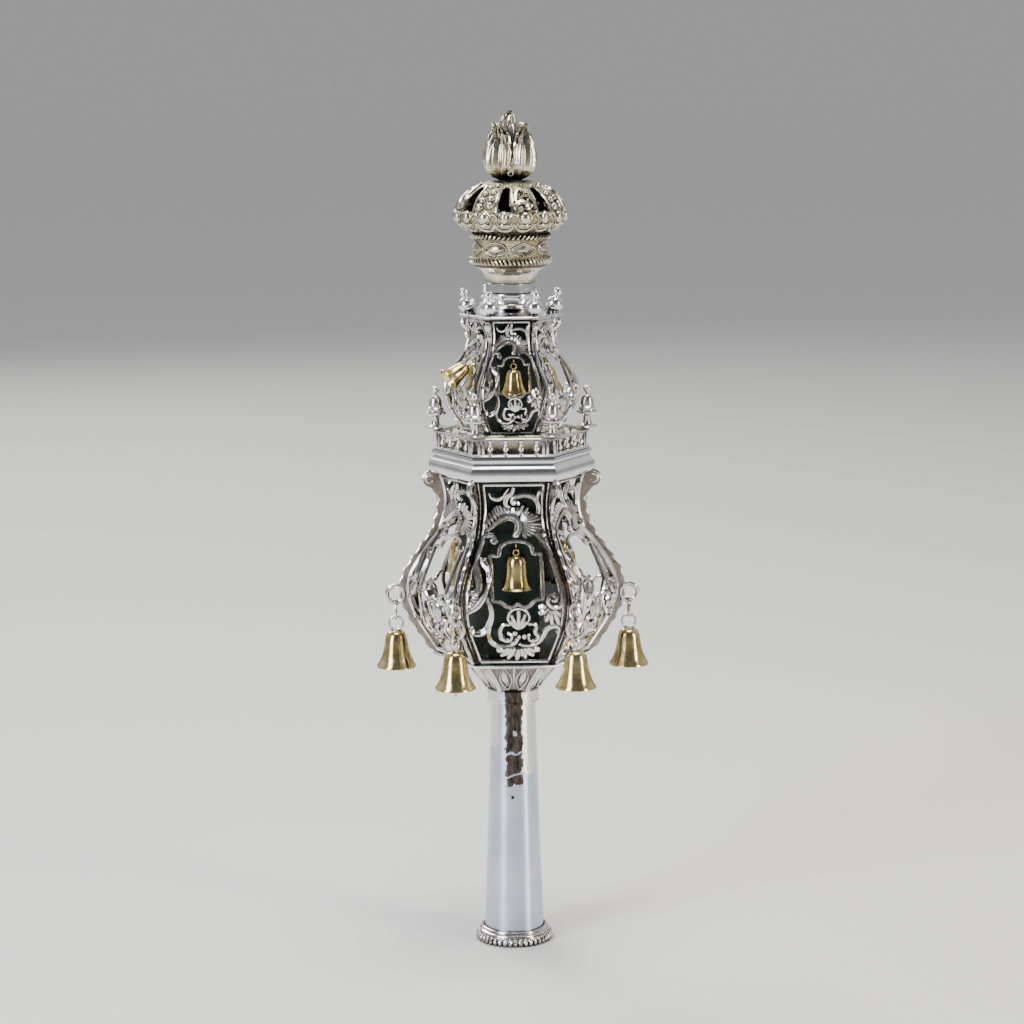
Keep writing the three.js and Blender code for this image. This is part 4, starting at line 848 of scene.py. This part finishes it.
def gallery_finials():
    profile = [
        (0, 0), (2.6, 0.1), (4.6, 0.5), (5.2, 1.0), (4.8, 1.5), (3.0, 1.9), (2.2, 2.4), (1.9, 3.6), (1.9, 5.6),
        (2.4, 6.4), (3.6, 6.9), (4.9, 7.3), (5.2, 7.9), (4.8, 8.5), (4.0, 8.8), (3.9, 9.3), (4.1, 9.8), (3.7, 10.4),
        (3.1, 10.8), (3.05, 12.6), (2.85, 14.0), (2.2, 15.4), (1.3, 16.2), (0.85, 16.7), (0.85, 17.2), (1.5, 17.7),
        (1.95, 18.5), (1.95, 19.2), (1.5, 20.1), (0.7, 20.6), (0, 20.75),
    ]  # fmt: skip
    piece = turned(raised(profile, GALLERY_Z + GALLERY_HEIGHT + GAP), 32)
    piece.data.transform(Matrix.Translation((FINIAL_REACH, 0, 0)))
    settle_round(piece, "gallery_finial", SILVER)


# Corners and roof of the upper lantern
def corner_rib():
    low = GAP / UPPER_HEIGHT
    shares = [low + (0.8 - low) * i / 9 for i in range(10)]
    line = [Vector((pear(s) * UPPER_HEIGHT + 0.5, 0, UPPER_Z + s * UPPER_HEIGHT)) for s in shares]
    line[0].z += 0.6
    neck = pear(0.85) * UPPER_HEIGHT + 1.4
    top = ROOF_Z - GAP
    curls = [
        [(0.0, -12.0), (0.6, -9.6), (1.4, -8.2), (0.9, -7.0), (0.2, -6.8)],
        [(-0.2, -6.6), (0.8, -5.4), (2.3, -4.0), (3.2, -2.6), (2.7, -1.5), (1.7, -1.5)],
    ]
    paths = [(line, [1.15, 1.1, 0.95], False)]
    for curl, size in zip(curls, ((1.0, 1.1, 0.8), (1.0, 1.2, 1.15, 0.9))):
        paths.append(([Vector((neck + out - 1.2, 0, top + up - 0.1)) for out, up in curl], list(size), False))
    paths.append(([Vector((neck - 0.6, 0, top - 12)), Vector((neck - 0.4, 0, top - 6)), Vector((neck + 0.2, 0, top - 0.9))], [0.9, 0.9], False))
    rib = strands(paths, 5, 2)
    rib.data.transform(turn_about_z(math.radians(-120)))
    return rib


def roof():
    slope = [
        (0, 0), (24.0, 0), (24.3, 0.25), (24.3, 0.9), (24.0, 1.2), (22.4, 1.5), (20.0, 2.2), (17.5, 3.2), (15.2, 4.5),
        (13.2, 5.8), (0, 5.8),
    ]  # fmt: skip
    drum = [
        (0, 4.0), (14.6, 4.4), (13.6, 4.9), (12.8, 5.6), (12.1, 6.2), (11.8, 6.9), (11.7, 9.2), (11.9, 9.6),
        (12.1, 10.0), (12.1, 10.5), (11.8, 11.0), (0, 11.0),
    ]  # fmt: skip
    knob = [
        (0, 0), (1.8, 0), (1.9, 0.5), (2.9, 1.2), (3.8, 2.2), (4.1, 3.5), (4.0, 4.6), (3.4, 5.8), (2.4, 6.7), (1.3, 7.2),
        (0.95, 7.5), (1.1, 7.9), (1.8, 8.5), (2.1, 9.4), (2.0, 10.2), (1.5, 11.1), (0.8, 11.55), (0, 11.7),
    ]  # fmt: skip
    pieces = [hexagonal(raised(slope, ROOF_Z)), turned(raised(drum, ROOF_Z), 64)]
    one = turned(knob, 24)
    lean = Matrix.Translation((19.8, 0, ROOF_Z + 1.9)) @ Matrix.Rotation(math.radians(14), 4, "Y")
    one.data.transform(lean)
    pieces.append(repeat(one, [turn_about_z(k * SIXTH) for k in range(SIDES)]))
    settle(join(pieces), "knobbed_roof", PLAIN_SILVER, nodes=["upper_roof"])


# Neck and crown
def neck():
    collar_profile = [
        (10.1, 0), (11.5, 0), (11.7, 0.2), (11.7, 4.2), (11.5, 4.4), (10.1, 4.4), (10.1, 0),
    ]  # fmt: skip
    settle(turned(raised(collar_profile, NECK_Z), 10, 18), "ten_sided_collar", PLAIN_SILVER, nodes=["neck_collar"])
    outer = [(NECK_RADIUS + (FLARE_RADIUS - NECK_RADIUS) * s**3, s * 7.1) for s in (i / 8 for i in range(9))]
    rim = [(16.6, 7.5), (16.4, 8.2), (15.4, 8.2)]
    inner = [(r - 1.1, z) for r, z in reversed(outer)]
    flare = turned(raised(outer + rim + inner + outer[:1], FLARE_Z), 10, 18)
    settle(flare, "ten_sided_flare", CROWN_SILVER, ["neck_flare"], 20)


def round_at(turn, radius, z):
    """A point at that turn in degrees from the front, towards the right."""
    return Vector((radius * math.sin(math.radians(turn)), -radius * math.cos(math.radians(turn)), z))


def facing(turn, radius, z):
    """Brings a shape that faces the front at the origin to that place round the axis."""
    return turn_about_z(math.radians(turn)) @ Matrix.Translation((0, -radius, z))


def rope(radius, z, count, thickness, lean):
    twist = ball(1.0, (thickness, 0.62 * thickness, 1.35 * thickness), 10, 8)
    twist.data.transform(Matrix.Translation((radius, 0, z)) @ Matrix.Rotation(math.radians(lean), 4, "X"))
    return repeat(twist, [turn_about_z(math.tau * i / count) for i in range(count)])


def crown_band():
    ground = 17.2
    profile = [
        (14.6, 0), (17.6, 0), (18.0, 0.4), (18.0, 3.2), (17.7, 3.8), (17.4, 4.6), (17.2, 6.0), (17.2, 9.5),
        (17.3, 10.8), (17.4, 11.8), (17.4, 14.4), (17.2, 15.0), (14.6, 15.0), (14.6, 0),
    ]  # fmt: skip
    ropes = rope(LOW_ROPE_RADIUS - 1.3, BAND_Z + 1.85, 58, 1.35, 30)
    pieces = [finished(turned(raised(profile, BAND_Z), 72), MATTED_SILVER), finished(ropes, CROWN_SILVER)]
    pieces.append(finished(rope(HIGH_ROPE_RADIUS - 1.1, BAND_Z + 13.2, 50, 1.3, -38), CROWN_SILVER))
    paths = []

    def wrap(middle, x, up, rise=0.0):
        return round_at(middle + math.degrees(x / ground), ground + rise, BAND_Z + 7.6 + up)

    for k in range(8):
        middle = -26 + 45 * k
        oval = [(math.cos(a), math.sin(a)) for a in (math.tau * i / 12 for i in range(12))]
        if k % 2 == 0:
            for wide, tall, wire in ((5.3, 3.1, 0.45), (4.3, 2.2, 0.3)):
                paths.append(([wrap(middle, x * wide, y * tall, 0.15) for x, y in oval], [wire, wire], True))
            jewel = ball(1, (3.8, 1.0, 1.75), 24, 12)
        else:
            for wide, tall, wire in ((6.6, 3.1, 0.36), (5.0, 2.1, 0.36)):
                frame_line = []
                for (x, y), (p, q) in zip(((1, 0), (0, 1), (-1, 0), (0, -1)), ((0, 1), (-1, 0), (0, -1), (1, 0))):
                    frame_line += [(x * (1 - s) + p * s, y * (1 - s) + q * s) for s in (0, 0.06, 0.5, 0.94)]
                paths.append(([wrap(middle, x * wide, y * tall, 0.15) for x, y in frame_line], [wire, wire], True))
            jewel = ball(1, (3.6, 1.2, 1.5), 4, 4)
        jewel.data.transform(facing(middle, ground - 0.1, BAND_Z + 7.6))
        pieces.append(finished(jewel, CROWN_SILVER))
    pieces.append(finished(strands(paths, 3), CROWN_SILVER))
    settle(join(pieces), "crown_band_dressed", None, ["crown_band"])


# The dome's outline: radius against height above its foot
DOME = [
    (18.2, 0), (20.4, 0.9), (22.6, 2.3), (24.1, 3.8), (25.1, 5.6), (25.4, 7.4), (25.3, 9.2), (24.8, 11.2),
    (23.4, 13.6), (21.4, 16.2), (19.3, 18.2), (17.2, 19.5), (13.8, 21.7), (10.2, 23.4),
]  # fmt: skip


def dome_radius(z):
    for (low_r, low_z), (high_r, high_z) in zip(DOME, DOME[1:]):
        if z <= high_z:
            return low_r + (high_r - low_r) * (z - low_z) / (high_z - low_z)
    return DOME[-1][0]


def on_dome(turn, x, z, rise=0.0):
    radius = dome_radius(z)
    return round_at(turn + math.degrees(x / radius), radius + rise, DOME_Z + z)


def crown_dome():
    inner = [(r - 1.4, z if z < 15 else z - 1.4) for r, z in DOME[:-1]]
    shell = turned(raised([(0, DOME_HEIGHT)] + DOME[::-1] + inner + [(0, DOME_HEIGHT - 1.4)], DOME_Z), 96)
    cutters = []
    for k in range(8):
        slot = slab([(-3.3, 10), (3.3, 10), (2.9, 14), (2.3, 17.5), (1.5, 20.2), (0, 20.9), (-1.5, 20.2), (-2.3, 17.5), (-2.9, 14)], "VECTOR", 26)
        slot.data.transform(turn_about_z(SLOT_TURN + k * math.tau / 8) @ Matrix.Translation((0, -8.5, DOME_Z)) @ Matrix.Rotation(math.radians(90), 4, "X"))
        cutters.append(slot)
    cutter = join(cutters)
    choose(shell)
    cut = shell.modifiers.new("slots", "BOOLEAN")
    cut.operation, cut.solver, cut.object = "DIFFERENCE", "EXACT", cutter
    bpy.ops.object.modifier_apply(modifier=cut.name)
    bpy.data.objects.remove(cutter)
    # The dome's inside faces, seen through its slots, take the painted dark shade.
    for finish in (MATTED_SILVER, PAINTED_SHADE_INSIDE):
        shell.data.materials.append(finish)
    for face in shell.data.polygons:
        height = face.center.z - DOME_Z
        face.material_index = int(face.center.xy.length < dome_radius(max(height, 0)) - 1.0 and height < DOME_HEIGHT - 0.7)
    pieces, paths = [shell], []

    def stud(turn, x, z, radius, stretch=(1, 0.7, 1), segments=12, rise=0.0):
        one = finished(ball(radius, stretch, segments, max(segments // 2, 5)), CROWN_SILVER)
        one.data.transform(facing(turn + math.degrees(x / dome_radius(z)), dome_radius(z) + rise, DOME_Z + z))
        pieces.append(one)

    turn_0 = math.degrees(SLOT_TURN)
    for k in range(8):
        slot_turn, band_turn = turn_0 + 45 * k, turn_0 + 45 * (k + 0.5)
        frame_line = [(-3.9, 9.6), (-3.6, 13), (-2.9, 17), (-1.9, 20.4), (0, 21.4), (1.9, 20.4), (2.9, 17), (3.6, 13), (3.9, 9.6)]
        paths.append(([on_dome(slot_turn, x, z, 0.05) for x, z in frame_line], [0.6, 0.55, 0.6], False))
        paths.append(([on_dome(slot_turn, x, 9.2, 0.1) for x in (-3.9, 0, 3.9)], [0.6, 0.6], False))
        if k % 2:
            for row in range(4):
                z = 11.9 + row * 2.9
                wide = 2.4 - row * 0.3
                for side in (-1, 1):
                    stud(band_turn, side * wide, z + (0.8 if side > 0 else 0), 1.95 - row * 0.2, (1, 0.95, 1), 12)
                    stud(band_turn, side * (wide + 2.0), z + 1.2, 0.65, (1, 0.9, 1), 8)
        else:
            for line in (
                [(-4.6, 10.6), (-3.8, 13.4), (-1.0, 14.4), (1.4, 13.2), (1.2, 11.4), (-0.4, 11.2)],
                [(4.4, 11.0), (4.4, 14.6), (2.4, 16.9), (-0.4, 16.8), (-1.4, 15.4), (-0.2, 14.6)],
                [(-3.8, 14.6), (-3.2, 17.6), (-1.0, 19.6), (1.2, 19.4), (1.6, 18.0)],
                [(3.0, 17.4), (2.0, 20.2), (0.2, 21.8)],
            ):
                paths.append(([on_dome(band_turn, x, z, 0.5) for x, z in line], [0.9, 1.3, 0.9], False))
            for x, z, size in ((2.9, 12.6, 1.5), (-2.4, 12.2, 1.1), (-2.8, 16.4, 1.3), (1.6, 15.4, 1.0), (0.2, 18.2, 1.2)):
                stud(band_turn, x, z, size, (1, 0.85, 1), 8)
        for x in (-5.6, 5.6):
            paths.append(([on_dome(band_turn, x * (1 - 0.028 * (z - 10)), z, 0.1) for z in (9.4, 13, 17, 21)], [0.4, 0.4], False))
        stud(band_turn, 0, DOME_WIDEST, 2.8, (1, 0.8, 1), 20)
        collet = [(math.cos(a) * 3.0, math.sin(a) * 3.0) for a in (math.tau * i / 8 for i in range(8))]
        paths.append(([on_dome(band_turn, x, DOME_WIDEST + y, 0.1) for x, y in collet], [0.35, 0.35], True))
        stud(slot_turn, 0, DOME_WIDEST, 2.1, (0.9, 0.9, 1.35), 14)
        paths.append(([on_dome(slot_turn, x, DOME_WIDEST + y, 0.1) for x, y in ((0, 3.0), (1.2, 1.6), (2.4, 0), (1.2, -1.6), (0, -3.0), (-1.2, -1.6), (-2.4, 0), (-1.2, 1.6))], [0.38, 0.38], True))
        for turn in (slot_turn, band_turn):
            stud(turn, 0, 4.0, 1.3, (1.9, 0.8, 0.8), 12)
            paths.append(([on_dome(turn, x, z, 0.15) for x, z in ((-4.7, 4.6), (-3.0, 2.0), (0, 1.2), (3.0, 2.0), (4.7, 4.6))], [0.5, 0.9, 0.5], False))
            paths.append(([on_dome(turn, x, z, 0.1) for x, z in ((-3.8, 5.4), (-2.4, 3.4), (0, 2.7), (2.4, 3.4), (3.8, 5.4))], [0.35, 0.5, 0.35], False))
            paths.append(([on_dome(turn, x, z, 0.1) for x, z in ((2.9, 7.8), (4.4, 9.2), (6.0, 8.6), (6.8, 7.2))], [0.5, 0.8, 0.5], False))
    pieces.append(finished(strands(paths, 3), CROWN_SILVER))
    settle(join(pieces), "crown_dome_dressed", None, ["crown_dome"])


def flame_leaf(rows, flutes, depth, wall, twist=0.0):
    """A fluted leaf round the axis. Each row is height share, radius share and half its spread in degrees."""
    bpy.ops.object.select_all(action="DESELECT")
    bpy.ops.mesh.primitive_grid_add(x_subdivisions=26, y_subdivisions=26, size=2)
    leaf = bpy.context.object
    for vertex in leaf.data.vertices:
        across, up = vertex.co.x, (vertex.co.y + 1) / 2
        place = up * (len(rows) - 1)
        i = min(int(place), len(rows) - 2)
        w = place - i
        w = w * w * (3 - 2 * w) * 0.5 + w * 0.5
        share, radius, spread = (rows[i][j] + (rows[i + 1][j] - rows[i][j]) * w for j in range(3))
        sweep = 1 - 0.32 * math.sin(up * math.pi)
        flute = math.cos(across * sweep * math.pi * flutes) * depth * min(1, 4 * (1 - up) + 0.15)
        notch = 1 - 0.07 * abs(math.sin(up * math.pi * 4)) * abs(across) ** 3
        out = radius * BUD_RADIUS - abs(across) ** 2 * 1.1 + flute
        angle = math.radians(spread) * across * notch + math.radians(twist) * up - math.pi / 2
        vertex.co = (out * math.cos(angle), out * math.sin(angle), share * BUD_HEIGHT)
    solid = leaf.modifiers.new("wall", "SOLIDIFY")
    solid.thickness, solid.offset = wall, -1
    bpy.ops.object.modifier_apply(modifier=solid.name)
    return leaf


def flame_bud():
    bud = [(0, 0), (0.5, 0), (0.85, 0.08), (1, 0.2), (0.98, 0.4), (0.8, 0.6), (0.6, 0.75), (0.36, 0.86), (0.15, 0.93), (0, 0.96)]
    pieces = [turned(scaled(bud, 9.2, BUD_HEIGHT), 32)]
    leaf_rows = [
        (0.0, 0.42, 43), (0.05, 0.68, 45), (0.12, 0.88, 46), (0.2, 0.98, 46), (0.3, 1.0, 45), (0.41, 0.98, 43),
        (0.52, 0.9, 40), (0.61, 0.8, 35), (0.69, 0.74, 27), (0.75, 0.76, 18), (0.8, 0.85, 6),
    ]  # fmt: skip
    leaf = flame_leaf(leaf_rows, 5, 0.95, 0.9, 9)
    pieces.append(repeat(leaf, [turn_about_z(math.radians(45 + 90 * k)) for k in range(4)]))
    side_rows = [(0.03, 0.6, 15), (0.15, 0.9, 19), (0.3, 1.02, 20), (0.45, 0.96, 17), (0.58, 0.86, 12), (0.66, 0.84, 5)]
    side = flame_leaf(side_rows, 3, 0.4, 0.8)
    pieces.append(repeat(side, [turn_about_z(math.radians(90 * k + 90)) for k in (0, 2)]))
    tip = flame_leaf([(0.5, 0.62, 60), (0.68, 0.52, 56), (0.82, 0.4, 50), (0.92, 0.24, 36), (0.995, 0.03, 5)], 3, 0.45, 0.7, 24)
    pieces.append(repeat(tip, [turn_about_z(math.radians(20 + 120 * k)) for k in range(3)]))
    for k in range(4):
        for i, size in enumerate((1.15, 1.0, 0.9, 0.8, 0.7)):
            share = 0.2 + i * 0.085
            bead = ball(size, (1, 0.8, 1), 12, 8)
            bead.data.transform(facing(90 * k, BUD_RADIUS * (0.8 - 0.05 * i), share * BUD_HEIGHT))
            pieces.append(bead)
    # A flattened dark ball in a wire ring stands for the bud's opening: painted shade.
    painted_shade_hole = ball(0.95, (1, 0.35, 1), 16, 8)
    painted_shade_hole.data.transform(facing(0, 10.2, 3.4))
    pieces.append(wire_ring(1.15, 0.3, (0, -10.2, 3.4)))
    whole = join([finished(join(pieces), CROWN_SILVER), finished(painted_shade_hole, PAINTED_SHADE_INSIDE)])
    whole.data.transform(Matrix.Translation((0, 0, BUD_Z)))
    settle(whole, "flame_bud_dressed", None, ["flame_bud"], 50)


# Assembly, from the foot up
foot()
stem()
collar()
calyx()
lantern_floor()
buttress()
settle_round(side_relief(LOWER_SIDE, {**OPENINGS, **SMALL_OPENINGS}), "lower_panel", None)
settle_round(join([side_relief(UPPER_SIDE, OPENINGS), finished(corner_rib(), SILVER)]), "upper_side", None)
corner_bells()
window_bells(LOWER_SIDE, "lower_window_bell", SLIM_BELL, 7.1, 16, 4.2, {})
window_bells(UPPER_SIDE, "upper_window_bell", BELL, 6.1, 11.5, 1.8, {1: (1.8, 6, -6), 5: (-1.7, 55, 8)})
cornice()
gallery()
gallery_finials()
roof()
neck()
crown_band()
crown_dome()
flame_bud()
# The inner drums take the painted dark reflection; the plinth takes the crown's silver.
for node, finish in (("lower_core", PAINTED_REFLECTION_SILVER), ("upper_core", PAINTED_REFLECTION_SILVER), ("upper_plinth", CROWN_SILVER)):
    for place in bpy.data.objects[node].material_slots:
        place.material = finish


# Stage, light and camera. The horizon is as pale as the far floor, so that no line shows between them.
HORIZON = "b1b1b1"


def pale_floor():
    finish = bpy.data.materials.new("pale_studio_floor")
    finish.use_nodes = True
    shader = finish.node_tree.nodes["Principled BSDF"]
    shader.inputs["Base Color"].default_value = tone("e4e2de")
    shader.inputs["Roughness"].default_value = 0.9
    bpy.ops.object.select_all(action="DESELECT")
    bpy.ops.mesh.primitive_plane_add(size=80)
    floor = bpy.context.object
    floor.name = "studio_floor"
    floor.data.materials.append(finish)


def studio_world():
    """A room that is pale behind the object and above it, and dim on the side it is seen from."""
    world = bpy.data.worlds.new("studio")
    world.use_nodes = True
    tree = world.node_tree
    parts = add_node(tree, "SeparateXYZ", {0: add_node(tree, "TexCoord").outputs["Generated"]})
    behind = spread(tree, parts.outputs[1], -0.5, 0.45, 0.1, 1.0)
    above = spread(tree, parts.outputs[2], 0.03, 0.3, 0.0, 1.0)
    upper = blend_colour(tree, behind, tone("4a4f5a"), tone("f4f5f8"))
    room = blend_colour(tree, above, tone(HORIZON), upper)
    tree.links.new(room, tree.nodes["Background"].inputs["Color"])
    tree.nodes["Background"].inputs["Strength"].default_value = 0.8
    bpy.context.scene.world = world


def soft_light(name, location, size, power, colour="ffffff"):
    lamp = bpy.data.lights.new(name, "AREA")
    lamp.shape, lamp.size, lamp.size_y = "RECTANGLE", size[0], size[1]
    lamp.spread = math.radians(150)
    lamp.energy = power
    lamp.color = tone(colour)[:3]
    holder = bpy.data.objects.new(name, lamp)
    holder.location = location
    holder.rotation_euler = (Vector((0, 0, 0.22)) - Vector(location)).to_track_quat("-Z", "Y").to_euler()
    bpy.context.collection.objects.link(holder)


pale_floor()
studio_world()
soft_light("left_softbox", (-1.0, -0.9, 0.75), (0.5, 1.1), 15, "f2f6ff")
soft_light("right_softbox", (1.15, -0.75, 0.5), (0.3, 1.0), 8, "fff4e8")
soft_light("overhead_softbox", (0.1, -0.1, 1.6), (0.9, 0.7), 14)
soft_light("back_softbox", (-0.9, 1.9, 1.7), (1.2, 1.2), 30)

lens = bpy.data.cameras.new("photo_view")
lens.sensor_width = 36
lens.lens = 94.92
camera = bpy.data.objects.new("photo_view", lens)
camera.location = (-0.0332, -1.2683, 0.4251)
look = Matrix.Rotation(math.radians(-1.5), 4, "Z") @ Matrix.Rotation(math.radians(80.4), 4, "X")
camera.rotation_euler = (look @ Matrix.Rotation(math.radians(-0.33), 4, "Z")).to_euler()
bpy.context.collection.objects.link(camera)
bpy.context.scene.camera = camera
